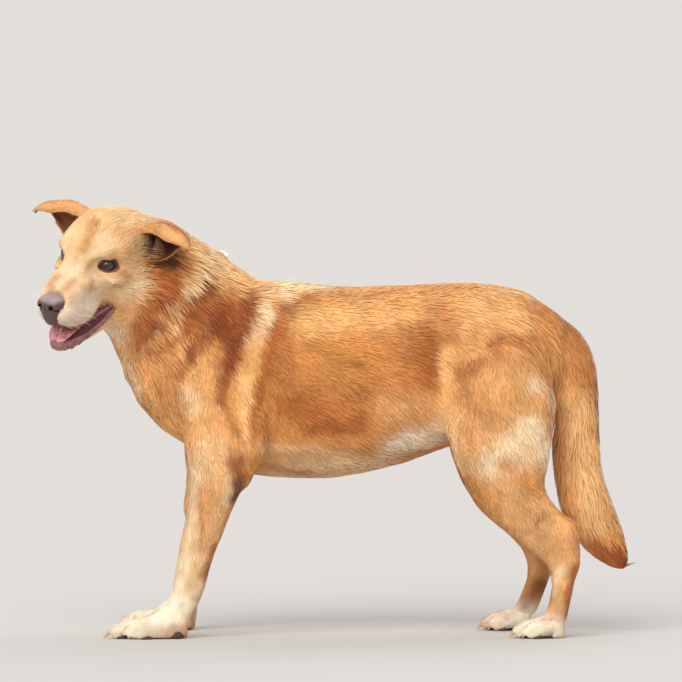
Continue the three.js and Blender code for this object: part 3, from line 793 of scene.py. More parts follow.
def coat_colour(points):
    """The colour of the hair that grows at each point, as a linear colour."""
    drift = wanders(points, EDGE_DRIFT)
    base = np.tile(linear(FAWN), (len(points), 1))
    body = marked(base, mirrored(points) + drift, BODY_MARKS, SIDEWAYS)
    head = marked(base, mirrored_head(points) + 0.3 * drift, HEAD_MARKS)
    head = marked(head, in_head(points) + 0.3 * drift, LEFT_HEAD_MARKS)
    share = head_share(points)[:, None]
    # Last, the ears' openings are painted dark with shade.
    colours = marked(between(body, head, share), mirrored_head(points), EAR_HOLE_SHADE_MARKS)
    mottle = wanders(points, MOTTLE)[:, :1]
    return np.clip(colours * (1 + mottle * (1 - 0.4 * share)), 0.005, 1)


# ---------- Ears ----------
# Thin gristle under skin: a cup open to the front whose outer third flops forward. Each row is a place
# on the ear's own line in the head's frame, its reach forward and up, and where round that line the
# cup starts and ends, in degrees from forward over the top to the back and down.
EAR = [
    ((-77, 34, 13), (20, 24), (46, 304)),
    ((-75, 56, 17), (21, 27), (46, 300)),
    ((-73, 72, 22), (21, 27), (40, 292)),
    ((-71, 87, 26), (19, 22), (28, 278)),
    ((-69, 100, 31), (16, 14), (12, 256)),
    ((-66, 112, 33), (12, 8), (0, 215)),
    ((-63, 119, 31), (8, 5), (0, 190)),
    ((-61, 123.5, 28), (3, 3), (0, 180)),
]
EAR_LINE = ([34, 79, 124], [-77, -71, -61], [13, 27, 28])  # the same line, plainer: out, forward and up
EAR_THICKNESS = 2.6
EAR_COAT = 0.8  # the ear's hair lies this deep
EAR_RINGS, EAR_TURNS = 44, 30
EAR_BACK = "#e3ab6e"
EAR_EDGE = "#a9683c"
# Inside the cup: painted shade deep in it, and the ear's own colour towards the tip. The shade reaches
# further out on the left ear.
EAR_INSIDE_WITH_SHADE = ("#4f2a20", "#a8714f")  # deep in the cup, and towards the tip
EAR_SHADE_REACH = {"left": 80, "right": 52}  # how far out the cup is dark
EAR_FADE = 32


def curve_at(stations, places):
    """Points of a smooth curve through evenly numbered stations, from 0 to 1."""
    stations = np.asarray(stations, float)
    ends = 2 * stations[[0, -1]] - stations[[1, -2]]
    padded = np.concatenate([ends[:1], stations, ends[1:]])
    at = np.clip(np.asarray(places, float), 0, 1) * (len(stations) - 1)
    first = np.minimum(at.astype(int), len(stations) - 2)
    t = (at - first).reshape(-1, *[1] * (stations.ndim - 1))
    a, b, c, d = (padded[first + step] for step in range(4))
    return 0.5 * (2 * b + (c - a) * t + (2 * a - 5 * b + 4 * c - d) * t**2 + (3 * b - a - 3 * c + d) * t**3)


def sheet_faces(rows, columns, closed_rows=False, closed_columns=False):
    """Quads over a grid of points, numbered row by row."""
    row = np.arange(rows if closed_rows else rows - 1)
    column = np.arange(columns if closed_columns else columns - 1)
    r, c = np.meshgrid(row, column, indexing="ij")
    next_r, next_c = (r + 1) % rows, (c + 1) % columns
    corners = [r * columns + c, r * columns + next_c, next_r * columns + next_c, next_r * columns + c]
    return np.stack(corners, -1).reshape(-1, 4)


def capped(faces, columns, last):
    """The same faces with the first and last ring of a tube closed; the ring has an even count."""
    first = [(step, step + 1, columns - 2 - step, columns - 1 - step) for step in range(columns // 2 - 1)]
    start = last * columns
    final = [tuple(start + corner for corner in reversed(quad)) for quad in first]
    return np.concatenate([faces, first, final])


def ear_sheet(side, along, turns):
    """Points of the middle of the ear's gristle, in the head's frame, and the way out of its back."""
    places = curve_at([row[0] for row in EAR], along)
    reaches = curve_at([row[1] for row in EAR], along)
    spans = np.radians(curve_at([row[2] for row in EAR], along))
    angle = between(spans[:, 0], spans[:, 1], turns)
    rim = np.stack([reaches[:, 0] * np.cos(angle), 0 * angle, reaches[:, 1] * np.sin(angle)], axis=-1)
    inset = EAR_COAT + EAR_THICKNESS / 2
    size = np.linalg.norm(rim, axis=1, keepdims=True)
    crimp = 1 + 0.03 * np.sin(7 * angle + 9 * along)[:, None]
    rim *= np.maximum(size * crimp - inset, 0.4) / size
    points = places * [1, side, 1] + rim
    return points, unit(rim)


def ear_shell(side):
    """The closed shell of one ear: the sheet's back and front, joined along its rims and at both ends."""
    along, turns = np.meshgrid(np.linspace(0, 1, EAR_RINGS), np.linspace(0, 1, EAR_TURNS), indexing="ij")
    middle, outward = ear_sheet(side, along.ravel(), turns.ravel())
    thin = EAR_THICKNESS / 2 * (1 - 0.6 * np.abs(2 * turns.ravel() - 1) ** 6) * (1 - 0.7 * along.ravel() ** 8)
    back = (middle + outward * thin[:, None]).reshape(EAR_RINGS, EAR_TURNS, 3)
    front = (middle - outward * thin[:, None]).reshape(EAR_RINGS, EAR_TURNS, 3)
    rings = np.concatenate([back, front[:, ::-1]], axis=1)
    columns = 2 * EAR_TURNS
    faces = sheet_faces(EAR_RINGS, columns, closed_columns=True)
    caps = []
    for ring in (0, EAR_RINGS - 1):
        for turn in range(EAR_TURNS - 1):
            a = ring * columns + turn
            b = ring * columns + columns - 1 - turn
            caps.append((a, b, b - 1, a + 1) if ring == 0 else (a, a + 1, b - 1, b))
    faces = np.concatenate([faces, np.array(caps)])
    if side > 0:
        faces = faces[:, ::-1]
    return on_head(rings.reshape(-1, 3)), faces


def ear_cup_shade_colour(head_points):
    """The colour inside the ear: painted shade in the depth of its cup, and its own paler colour towards the
    tip.
    """
    y = head_points[:, 1]
    dark_to = np.where(y > 0, EAR_SHADE_REACH["left"], EAR_SHADE_REACH["right"])
    outward = smooth_step(0, EAR_FADE, np.abs(y) - dark_to)[:, None]
    cup_shade, shallow = (linear(code) for code in EAR_INSIDE_WITH_SHADE)
    return between(cup_shade, shallow, outward)


# ---------- Skin: its mesh and finish ----------
# The hide and the shells of both ears are joined into one closed mesh. Under the tufts it has the coat's own
# colours, painted paler to stand for the light among the tufts, so that no bare ground shows between them;
# inside the mouth and the ears it is bare, and the ears' cups and openings are painted dark with shade.
def add_node(tree, kind, settings=None, links=None):
    """One node, with its settings (attributes, or sockets by name or number) and what feeds it."""
    node = tree.nodes.new(kind)
    for key, value in (settings or {}).items():
        if isinstance(key, str) and hasattr(node, key):
            setattr(node, key, value)
        else:
            node.inputs[key].default_value = value
    for key, source in (links or {}).items():
        tree.links.new(source, node.inputs[key])
    return node


def new_material(name, **sockets):
    """A Principled material: its tree, its shader, and itself."""
    material = bpy.data.materials.new(name)
    material.use_nodes = True
    tree = material.node_tree
    shader = tree.nodes["Principled BSDF"]
    for key, value in sockets.items():
        shader.inputs[key.replace("_", " ")].default_value = value
    return material, tree, shader


def rgba(code):
    return (*linear(code), 1.0)


MULTIPLIED = {"data_type": "RGBA", "blend_type": "MULTIPLY", 0: 1.0}


def add_values(mesh, name, values):
    """Per-point values on a mesh: a colour, or one number."""
    if values.ndim == 2:
        layer = mesh.attributes.new(name, "FLOAT_COLOR", "POINT")
        values = np.concatenate([values, np.ones((len(values), 1))], axis=1)
        layer.data.foreach_set("color", values.astype(np.float32).ravel())
    else:
        layer = mesh.attributes.new(name, "FLOAT", "POINT")
        layer.data.foreach_set("value", values.astype(np.float32).ravel())


def mesh_object(name, points, faces, material, **values):
    """A smooth mesh from points in millimetres and faces of one size, with per-point values on it."""
    mesh = bpy.data.meshes.new(name)
    corners = faces.shape[1]
    mesh.vertices.add(len(points))
    mesh.vertices.foreach_set("co", (points * MM).astype(np.float32).ravel())
    mesh.loops.add(faces.size)
    mesh.loops.foreach_set("vertex_index", faces.astype(np.int32).ravel())
    mesh.polygons.add(len(faces))
    mesh.polygons.foreach_set("loop_start", np.arange(0, faces.size, corners, dtype=np.int32))
    mesh.polygons.foreach_set("use_smooth", np.ones(len(faces), bool))
    mesh.update(calc_edges=True)
    for key, value in values.items():
        add_values(mesh, key, value)
    mesh.materials.append(material)
    thing = bpy.data.objects.new(name, mesh)
    scene.collection.objects.link(thing)
    return thing


# Short hair over hide is dull and finely speckled. The specks are finer than can be seen from afar.
HIDE_SPECK = 1.11
hide_finish, tree, shader = new_material("short dog hair over hide", Roughness=0.85, Specular_IOR_Level=0.25)
hair = add_node(tree, "ShaderNodeAttribute", {"attribute_name": "hair"})
place = {"Vector": add_node(tree, "ShaderNodeNewGeometry").outputs["Position"]}
speck = add_node(tree, "ShaderNodeTexNoise", {"Scale": 1 / (HIDE_SPECK * MM), "Detail": 2.0}, place)
shade = add_node(tree, "ShaderNodeMapRange", {"To Min": 0.85, "To Max": 1.1}, {0: speck.outputs[0]})
toned = add_node(tree, "ShaderNodeMix", MULTIPLIED, {6: hair.outputs["Color"], 7: shade.outputs[0]})
tree.links.new(toned.outputs[2], shader.inputs["Base Color"])
bump = add_node(tree, "ShaderNodeBump", {"Strength": 0.5, "Distance": 0.0006}, {"Height": speck.outputs[0]})
tree.links.new(bump.outputs[0], shader.inputs["Normal"])

LINING = "#834d4e"  # of the mouth
SKIN_LIFT = 1.15  # the skin is this much paler than its hair, to stand for the light among the tufts
skin = mesh_object("skin", *surface(hide), hide_finish)
for side in (1, -1):
    ear = mesh_object("ear", *ear_shell(side), hide_finish)
    union = skin.modifiers.new("ear", "BOOLEAN")
    union.operation, union.solver, union.object = "UNION", "MANIFOLD", ear
    bpy.context.view_layer.objects.active = skin
    bpy.ops.object.modifier_apply(modifier=union.name)
    bpy.data.objects.remove(ear)
skin.data.polygons.foreach_set("use_smooth", np.ones(len(skin.data.polygons), bool))


def mesh_arrays(mesh):
    """The points, in millimetres, their normals and the triangles of a mesh."""
    mesh.calc_loop_triangles()
    points, normals = np.empty((2, len(mesh.vertices) * 3), np.float32)
    mesh.vertices.foreach_get("co", points)
    mesh.vertex_normals.foreach_get("vector", normals)
    triangles = np.empty(len(mesh.loop_triangles) * 3, np.int32)
    mesh.loop_triangles.foreach_get("vertices", triangles)
    return points.reshape(-1, 3) / MM, normals.reshape(-1, 3), triangles.reshape(-1, 3)


skin_points, skin_normals, skin_triangles = mesh_arrays(skin.data)
on_ear = smooth_step(-0.6, 1.0, sampled(coat_top, skin_points))
head_points = in_head(skin_points)
line_x, line_z = (np.interp(np.abs(head_points[:, 1]), EAR_LINE[0], row) for row in EAR_LINE[1:])
spoke = np.stack([head_points[:, 0] - line_x, 0 * line_x, head_points[:, 2] - line_z], axis=1)
cup_inside = on_ear * smooth_step(0.15, -0.25, (unit(spoke) * (skin_normals @ HEAD_TURN)).sum(1))
skin_hair = coat_colour(skin_points)
ear_tone = linear(EAR_BACK) * (1 + 0.08 * wander(skin_points, 12)[:, :1])
skin_hair = between(skin_hair, ear_tone, on_ear[:, None])
# Painted shade deep in the ears' cups.
skin_hair = between(skin_hair, ear_cup_shade_colour(head_points), cup_inside[:, None])
skin_hair = between(skin_hair, linear(LINING), mouth_share(head_points)[:, None])
add_values(skin.data, "hair", np.clip(skin_hair * SKIN_LIFT, 0.004, 1))
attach(skin, "root")
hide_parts(*FLESH, "ear_left", "ear_right")

# ---------- Coat: its tufts ----------
# Each tuft is a few hairs that cling together: a thin closed blade with three sides, rooted in the skin
# and bent to follow the body. Tips of neighbours lean to each other, so that the coat breaks into locks.
TUFTS = 116000
LONG = 22.0  # tufts longer than this bend in three places
COVER = {"width_share": 0.05, "least_width": 0.5}
RIDGE = 0.28  # a tuft's height over half its width
TAPER = (0.8, 1.0, 0.7)  # its width at its root and on the way to its tip
SHORT_STAGES, LONG_STAGES = (0.45, 1.0), (0.3, 0.65, 1.0)  # where along it a tuft bends
ROOT_SUNK = 0.6
LOCK_SIZE, LOCK_LEAN = 11, 0.10  # tips so near each other lean the same way, that much of their length
SWIRL = [(0.14, 26, 0), (0.07, 8, 91)]  # how far the hair's way wanders, as for the strokes' edges
WAY_SPREAD = 0.06
COLOUR_FROM = 0.35  # of a tuft's length: where on the body its colour is taken from
# Painted light: each tuft is paler at its root, where the others shade it, than at its tip.
TUFT_LIGHT = (1.2, 1.0)  # at its root, which the others shade, and at its tip
TONE_SPREAD = {"head": 0.075, "body": 0.05}
TINT_SPREAD = 0.018
STREAK_WIDTH, STREAK_LENGTH = 0.3125, 9  # of the single hairs drawn on a tuft
EAR_TUFTS = 5500
EAR_TUFT_WIDTH = 0.75
GUARD_HAIRS = 5200
GUARD_WIDTH = 0.45
GUARD_LEAST = {"head": 14, "body": 12}  # they stand only among tufts longer than this
PIECE_LIMIT = 190000  # triangles
PATCH = 0.003  # how far a tuft reaches on its piece's map
# The coat is parted by the body's parts: where each one's middle line starts and ends, and its girth.
# A piece's map is unwrapped from that line: its angle round the line, and how far along it.
COAT_PARTS = {
    "head": (on_head((-100, 0, -20)), on_head((62, 0, -45)), 55),
    "neck": ((-150, MIDLINE_Y, 400), (-245, 8, 450), 62),
    "trunk": ((-110, MIDLINE_Y, 330), (290, MIDLINE_Y, 350), 92),
    "foreleg_left": ((-150, -56, 215), (-225, -60, 5), 26),
    "foreleg_right": ((-150, 96, 215), (-220, 102, 5), 26),
    "hind_leg_left": ((232, -54, 240), (285, -51, 5), 30),
    "hind_leg_right": ((225, 92, 240), (248, 91, 5), 30),
    "tail": ((322, MIDLINE_Y, 360), (372, MIDLINE_Y, 105), 24),
}


def scattered(points, triangles, wanted, count):
    """Roots strewn over the skin, as many in each place as `wanted` (per area) asks."""
    a, b, c = (points[triangles[:, corner]] for corner in range(3))
    share = np.linalg.norm(np.cross(b - a, c - a), axis=1) * wanted[triangles].mean(1)
    ladder = np.cumsum(share)
    steps = (np.arange(count) + chance.random(count)) / count * ladder[-1]
    chosen = np.minimum(np.searchsorted(ladder, steps), len(triangles) - 1)
    u, v = chance.random((2, count))
    over = u + v > 1
    u[over], v[over] = 1 - u[over], 1 - v[over]
    a, b, c = a[chosen], b[chosen], c[chosen]
    return a + (b - a) * u[:, None] + (c - a) * v[:, None]


def bare_places(points):
    """Whether no hair grows: in the mouth and ears, on the eyelids' rims, nose, elbows and soles."""
    head_points, one_side = in_head(points), mirrored_head(points)
    offset = one_side - EYE_MIDDLE
    inward = offset @ EYE_MEDIAL - LID_SPAN[0]
    upward = offset @ EYE_UP - LID_SPAN[1]
    lids = (np.hypot(inward / LID_SPAN[2], upward / LID_SPAN[3]) < 1) & (offset @ EYE_AXIS > 0)
    at_nose = egg(head_points, NOSE_MIDDLE, (19, 17, 16)) < 0.5
    in_ear = egg(one_side, *EAR_HOLE) < 0
    at_elbow = np.linalg.norm(mirrored(points) - ELBOW_CALLUS, axis=1) < 6
    return lids | in_ear | at_nose | at_elbow | (mouth_share(head_points) > 0.2) | (points[:, 2] < 2.5)


def tuft_path(roots, way, normal, length, depth_here, stages, reach_out):
    """The middle line of each tuft: a root just in the skin, then points that rise to the coat's top."""
    lean = wander(roots + way * length[:, None], LOCK_SIZE) * (LOCK_LEAN * length)[:, None]
    line = [roots - normal * ROOT_SUNK]
    for stage in stages:
        point = roots + way * (length * stage)[:, None] + lean * stage**2
        rise = -depth_here * (1 - stage) ** 2 + depth_here * reach_out * stage**2
        for _ in range(2):
            slope = outward_normal(coat_top, point)
            point = point + slope * (rise - sampled(coat_top, point))[:, None]
        line.append(point)
    return line


def tufts(line, normal, width):
    """Closed three-sided blades along the lines: points, each corner's normal, triangles, and places
    across and along. The top is lit as the coat it lies in, the underside as itself."""
    rings, tops, unders, spots = [], [], [], []
    count = len(line[0])
    last = len(line) - 1
    for stage in range(last):
        ahead = unit(line[stage + 1] - line[max(stage - 1, 0)])
        aside = unit(np.cross(ahead, normal))
        up = np.cross(aside, ahead)
        half = (width * TAPER[stage] / 2)[:, None]
        for left, high in ((-1, 0), (1, 0), (0, RIDGE)):
            rings.append(line[stage] + aside * half * left + up * half * high)
            tops.append(unit(normal + 0.5 * up + aside * 0.3 * left))
            unders.append(-up)
            spots.append((left, stage / last))
    rings.append(line[-1])
    tops.append(unit(normal + 0.5 * up))
    unders.append(-up)
    spots.append((0, 1))
    per_tuft = 3 * last + 1
    tip = per_tuft - 1
    pattern, under = [(0, 1, 2)], [True]
    for side in range(3):
        for section in range(last - 1):
            a, b = 3 * section + side, 3 * section + (side + 1) % 3
            pattern += [(a, b + 3, b), (a, a + 3, b + 3)]
            under += [side == 0] * 2
        pattern.append((tip - 3 + side, tip, tip - 3 + (side + 1) % 3))
        under.append(side == 0)
    pattern = np.array(pattern)
    tops = np.stack(tops, axis=1)[:, pattern]
    unders = np.stack(unders, axis=1)[:, pattern]
    normals = np.where(np.array(under)[None, :, None, None], unders, tops).reshape(-1, 3)
    faces = (pattern[None] + per_tuft * np.arange(count)[:, None, None]).reshape(-1, 3)
    return np.stack(rings, axis=1).reshape(-1, 3), normals, faces, np.array(spots)


# Dry hair has a broad, weak sheen. Fine streaks run along each tuft, as the single hairs in it do.
coat_finish, tree, shader = new_material("dog hair in tufts", Roughness=0.75, Specular_IOR_Level=0.2)
shader.inputs["Sheen Weight"].default_value = 0.1
shader.inputs["Sheen Roughness"].default_value = 0.5
hair = add_node(tree, "ShaderNodeAttribute", {"attribute_name": "hair"})
strand = {"Vector": add_node(tree, "ShaderNodeAttribute", {"attribute_name": "strand"}).outputs["Vector"]}
streak = add_node(tree, "ShaderNodeTexNoise", {"Scale": 1.0, "Detail": 2.0}, strand)
span = {"From Min": 0.25, "From Max": 0.75, "To Min": 0.84, "To Max": 1.12}
shade = add_node(tree, "ShaderNodeMapRange", span, {0: streak.outputs[0]})
toned = add_node(tree, "ShaderNodeMix", MULTIPLIED, {6: hair.outputs["Color"], 7: shade.outputs[0]})
tree.links.new(toned.outputs[2], shader.inputs["Base Color"])


def unwrapped(roots, part):
    """Where roots lie on the map of a body part, from 0 to 1 round it and along it."""
    start, stop, _ = COAT_PARTS[part]
    axis = np.subtract(stop, start)
    reach = np.linalg.norm(axis)
    axis = axis / reach
    offset = roots - start
    along = offset @ axis
    first = unit(np.cross(axis, [0, 1, 0.1]))
    angle = np.arctan2(offset @ np.cross(axis, first), offset @ first)
    spread = (along - along.min()) / max(np.ptp(along), 1e-6)
    return np.stack([angle / math.tau + 0.5, spread], axis=1)


def coat_piece(name, line, normal, width, colour, part):
    """One mesh of tufts, each a little apart from its neighbours' shade, with its map."""
    points, normals, faces, spots = tufts(line, normal, width)
    spread = TONE_SPREAD["head" if part == "head" else "body"]
    tone = chance.normal(1, spread, (len(width), 1)) * (1 + chance.normal(0, TINT_SPREAD, (len(width), 3)))
    # Painted light, paler towards each tuft's root.
    shade = between(*TUFT_LIGHT, spots[:, 1])
    hair_colour = np.clip((colour * tone)[:, None, :] * shade[None, :, None], 0.004, 1).reshape(-1, 3)
    length = np.linalg.norm(line[-1] - line[0], axis=1)
    offset = 40 * chance.random((len(width), 2))
    across_it = (spots[None, :, 0] * width[:, None] / 2 / STREAK_WIDTH + offset[:, :1]).ravel()
    along_it = (spots[None, :, 1] * length[:, None] / STREAK_LENGTH + offset[:, 1:]).ravel()
    strand_at = np.stack([across_it, along_it, 0 * along_it], axis=1)
    piece = mesh_object(name, points, faces, coat_finish, hair=hair_colour, strand=strand_at)
    piece.data.normals_split_custom_set(normals)
    corner = np.stack([(spots[:, 0] + 1) / 2, spots[:, 1]], axis=1)
    places = unwrapped(line[0], part)[:, None, :] * (1 - PATCH) + PATCH * corner[None]
    uv = places.reshape(-1, 2)[faces.ravel()].astype(np.float32)
    piece.data.uv_layers.new(name="OFBake").uv.foreach_set("vector", uv.ravel())
    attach(piece, "root")


def part_of(roots):
    """The number of the body part that each root grows on."""
    apart = []
    for start, stop, girth in COAT_PARTS.values():
        apart.append(np.linalg.norm(from_line(roots, start, stop), axis=1) / girth)
    return np.argmin(apart, axis=0)


_, skin_length, _ = coat_lie(skin_points)
skin_width = COVER["least_width"] + COVER["width_share"] * skin_length
wanted = (~bare_places(skin_points) & (on_ear < 0.5)) / (skin_width * skin_length**0.9)
roots = scattered(skin_points, skin_triangles, wanted, TUFTS)
lie, length, depth_here = coat_lie(roots)
length = length * chance.uniform(0.75, 1.2, len(roots))
normal = outward_normal(coat_top, roots)
swirl = wanders(roots, SWIRL) + chance.normal(0, WAY_SPREAD, (len(roots), 3))
way = across(unit(lie) + swirl, normal)
width = (COVER["least_width"] + COVER["width_share"] * length) * chance.uniform(0.8, 1.25, len(roots))
reach_out = chance.uniform(-0.30, 0.08, len(roots))
part = part_of(roots)
colour = coat_colour(roots + way * (COLOUR_FROM * length)[:, None])
for number, name in enumerate(COAT_PARTS):
    for kind, stages in (("short", SHORT_STAGES), ("long", LONG_STAGES)):
        chosen = np.flatnonzero((part == number) & ((length > LONG) == (kind == "long")))
        if len(chosen) == 0:
            continue
        chosen = chosen[np.argsort(unwrapped(roots[chosen], name)[:, 1])]
        tuft_triangles = 6 * len(stages) - 2
        pieces = math.ceil(len(chosen) * tuft_triangles / PIECE_LIMIT)
        for count, some in enumerate(np.array_split(chosen, pieces)):
            line = tuft_path(
                roots[some], way[some], normal[some], length[some], depth_here[some], stages, reach_out[some]
            )
            coat_piece(f"coat_{name}_{kind}_{count}", line, normal[some], width[some], colour[some], name)

# Single paler hairs stand a little off the coat all over, so that its outline isn't hard.
chosen = chance.choice(len(roots), GUARD_HAIRS, replace=False)
least = np.where(part[chosen] == 0, GUARD_LEAST["head"], GUARD_LEAST["body"])  # the head is part 0
chosen = chosen[length[chosen] > least]
line = tuft_path(
    roots[chosen],
    across(way[chosen] + chance.normal(0, 0.2, (len(chosen), 3)), normal[chosen]),
    normal[chosen],
    1.15 * length[chosen],
    depth_here[chosen],
    (0.5, 1.0),
    chance.uniform(0.1, 0.75, len(chosen)),
)
guard_colour = between(colour[chosen], linear(CREAM), 0.3)
guard_width = np.full(len(chosen), GUARD_WIDTH)
coat_piece("coat_guard_hairs", line, normal[chosen], guard_width, guard_colour, "trunk")


def ear_hair(side):
    """The ear's own tufts: short ones over its back, sparse longer ones along the edges of its cup."""
    on_back = chance.random(EAR_TUFTS) < 0.82
    along = chance.random(EAR_TUFTS) ** 0.9 * 0.97 + 0.01
    turns = np.where(on_back, chance.random(EAR_TUFTS), chance.beta(0.35, 0.6, EAR_TUFTS))
    middle, outward = ear_sheet(side, along, turns)
    ahead, _ = ear_sheet(side, along + 0.02, turns)
    around, _ = ear_sheet(side, along, turns + 0.01)
    normal = unit(np.cross(ahead - middle, around - middle))
    normal *= np.sign((normal * outward).sum(1))[:, None]
    normal = np.where(on_back[:, None], normal, -normal)
    way = across(unit(ahead - middle) + chance.normal(0, 0.12, middle.shape), normal)
    length = np.where(on_back, 9 - 4 * along, 11 - 5 * along) * chance.uniform(0.7, 1.2, EAR_TUFTS)
    root = middle + normal * (EAR_THICKNESS / 2 - 0.2)
    rise = np.where(on_back, EAR_COAT, 2.0)[:, None]
    reach = way * length[:, None]
    line = [root, root + reach * 0.5 + normal * rise * 0.7, root + reach + normal * rise]
    edge = smooth_step(0.10, 0.0, np.minimum(turns, 1 - turns))[:, None]
    tip = smooth_step(0.8, 1.0, along)[:, None]
    colour = linear(EAR_BACK) * (1 + 0.08 * wander(on_head(root), 12)[:, :1])
    outer = between(colour, linear(EAR_EDGE), np.maximum(edge * 0.5, tip * 0.35))
    # Tufts inside the cup take its painted shade, with rust at its edges.
    inner = between(ear_cup_shade_colour(middle), linear(RUST), np.maximum(edge, 0.2))
    colour = np.where(on_back[:, None], outer, inner)
    line = [on_head(stage) for stage in line]
    return line, normal @ HEAD_TURN.T, np.full(EAR_TUFTS, EAR_TUFT_WIDTH), colour


for word, side in SIDES.items():
    coat_piece(f"coat_ear_{word}", *ear_hair(side), "head")

# ---------- Eyes ----------
# A moist ball with a dark brown iris and a clear, bulging cornea. It sits in its socket behind the lids,
# and its colours go by bands round its axis: pupil, iris, dark edge, and the brownish white of the eye.
CORNEA_EDGE = 42  # degrees from the eye's axis
CORNEA_BULGE = 1.3
EYE_PLAY = 0.3  # between the ball and its socket
# Each band starts that far from the axis, in hundreds of degrees.
IRIS_BANDS = [
    (0.0, "#050404"),
    (0.15, "#070504"),
    (0.19, "#3b2a26"),
    (0.33, "#33201a"),
    (0.42, "#1d110c"),
    (0.52, "#120b08"),
    (0.58, "#5d463b"),
    (0.9, "#8a7468"),
]

# The tear film makes it mirror-bright. Flecks run out from the pupil.
eye_finish, tree, shader = new_material("wet eye", Roughness=0.06, Specular_IOR_Level=0.5, Coat_Weight=1.0)
shader.inputs["Coat Roughness"].default_value = 0.02
shader.inputs["IOR"].default_value = 1.376
turn = add_node(tree, "ShaderNodeAttribute", {"attribute_name": "turn"})
ray = {"Vector": add_node(tree, "ShaderNodeAttribute", {"attribute_name": "ray"}).outputs["Vector"]}
streaks = add_node(tree, "ShaderNodeTexNoise", {"Scale": 1.0, "Detail": 3.0}, ray)
iris = add_node(tree, "ShaderNodeValToRGB", {}, {0: turn.outputs["Fac"]})
ramp = iris.color_ramp
while len(ramp.elements) < len(IRIS_BANDS):
    ramp.elements.new(0.5)
for element, (position, code) in zip(ramp.elements, IRIS_BANDS):
    element.position = position
    element.color = rgba(code)
fleck = add_node(tree, "ShaderNodeMapRange", {"To Min": 0.65, "To Max": 1.25}, {0: streaks.outputs[0]})
toned = add_node(tree, "ShaderNodeMix", MULTIPLIED, {6: iris.outputs[0], 7: fleck.outputs[0]})
tree.links.new(toned.outputs[2], shader.inputs["Base Color"])


def eye_frame(side):
    """An eye's middle, the way it looks, the way to the nose, and the way up."""
    flip = np.array([1, side, 1])
    return [EYE_MIDDLE * flip, EYE_AXIS * flip, EYE_MEDIAL * flip, EYE_UP * flip]


def eyeball(side):
    """A ball of rings round the eye's own axis, swelled in front into the cornea."""
    middle, axis, medial, upward = eye_frame(side)
    rings, around = 40, 48
    angle, turn = np.meshgrid(np.linspace(0.01, math.pi - 0.01, rings), np.arange(around) * math.tau / around)
    angle, turn = angle.T.ravel(), turn.T.ravel()
    swell = CORNEA_BULGE * smooth_step(CORNEA_EDGE, 0, np.degrees(angle)) ** 0.7
    radius = (EYE_RADIUS - EYE_PLAY + swell)[:, None]
    aside = medial * np.cos(turn)[:, None] + upward * np.sin(turn)[:, None]
    points = middle + radius * (axis * np.cos(angle)[:, None] + aside * np.sin(angle)[:, None])
    ray = np.stack([6 * np.cos(turn), 6 * np.sin(turn), 0.4 * angle], axis=1)
    faces = sheet_faces(rings, around, closed_columns=True)
    return on_head(points), faces, np.degrees(angle) / 100, ray


for word, side in SIDES.items():
    points, faces, turned, ray = eyeball(side)
    eye = mesh_object(f"eyeball_{word}", points, faces, eye_finish, turn=turned, ray=ray)
    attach(eye, "root")
    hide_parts(f"eye_{word}")

# ---------- Eyelids ----------
# Bare dark skin rims the opening, drawn out to a point at the inner corner; haired skin follows.
# Each row is one way round the eye: how far towards the nose and up its opening, its dark rim and its
# haired edge reach.
LIDS = [
    ((-12.0, -1.5), (-16.5, -4.5), (-19.5, -5.0)),
    ((-9.5, 4.6), (-12.5, 8.0), (-15, 11)),
    ((-3.0, 7.2), (-4.0, 12.0), (-4, 15)),
    ((3.0, 3.9), (6.5, 7.0), (9.5, 9.5)),
    ((6.5, -2.0), (18.5, -5.0), (22, -6)),
    ((3.0, -4.4), (9.5, -10.5), (12, -13.5)),
    ((-3.5, -6.0), (-2.0, -12.4), (-2, -15.5)),
    ((-9.0, -4.8), (-10.5, -10.0), (-12.5, -13)),
]
# Rings over them: the stage from the opening (0) over the rim (1) to the haired edge (2), and its lift.
LID_STAGES = [(0.0, -1.2), (0.0, 0.6), (0.2, 1.3), (0.45, 1.5)]
LID_STAGES += [(0.75, 1.1), (1.0, 0.7), (1.4, 0.1), (2.0, -1.5)]
LID_ON_HIDE = 0.7  # from this stage on, the lids lie on the hide, that high over it
LID_TURNS = 64
LID_RIM = "#4a2826"
LID_LOWER = "#8a5a52"
EYE_DOME = 7.5  # out to here the lids follow the ball, and then they slope straight off
LID_GRAIN = 0.71

# Bare eyelid skin is thin, dark and slightly moist, with a grain too fine to be seen from afar.
lid_finish, tree, shader = new_material("bare eyelid skin", Roughness=0.5, Specular_IOR_Level=0.25)
rim = add_node(tree, "ShaderNodeAttribute", {"attribute_name": "hair"})
grain = add_node(tree, "ShaderNodeTexNoise", {"Scale": 1 / (LID_GRAIN * MM), "Detail": 2.0})
bump = add_node(tree, "ShaderNodeBump", {"Strength": 0.35, "Distance": 0.0003}, {"Height": grain.outputs[0]})
tree.links.new(rim.outputs["Color"], shader.inputs["Base Color"])
tree.links.new(bump.outputs[0], shader.inputs["Normal"])


def dome(reach):
    """How far out of the eye's middle the lids lie, that far from its axis."""
    edge = math.sqrt(EYE_RADIUS**2 - EYE_DOME**2)
    near = np.sqrt(np.maximum(EYE_RADIUS**2 - np.minimum(reach, EYE_DOME) ** 2, 0))
    return near - np.maximum(reach - EYE_DOME, 0) * EYE_DOME / edge * 0.8


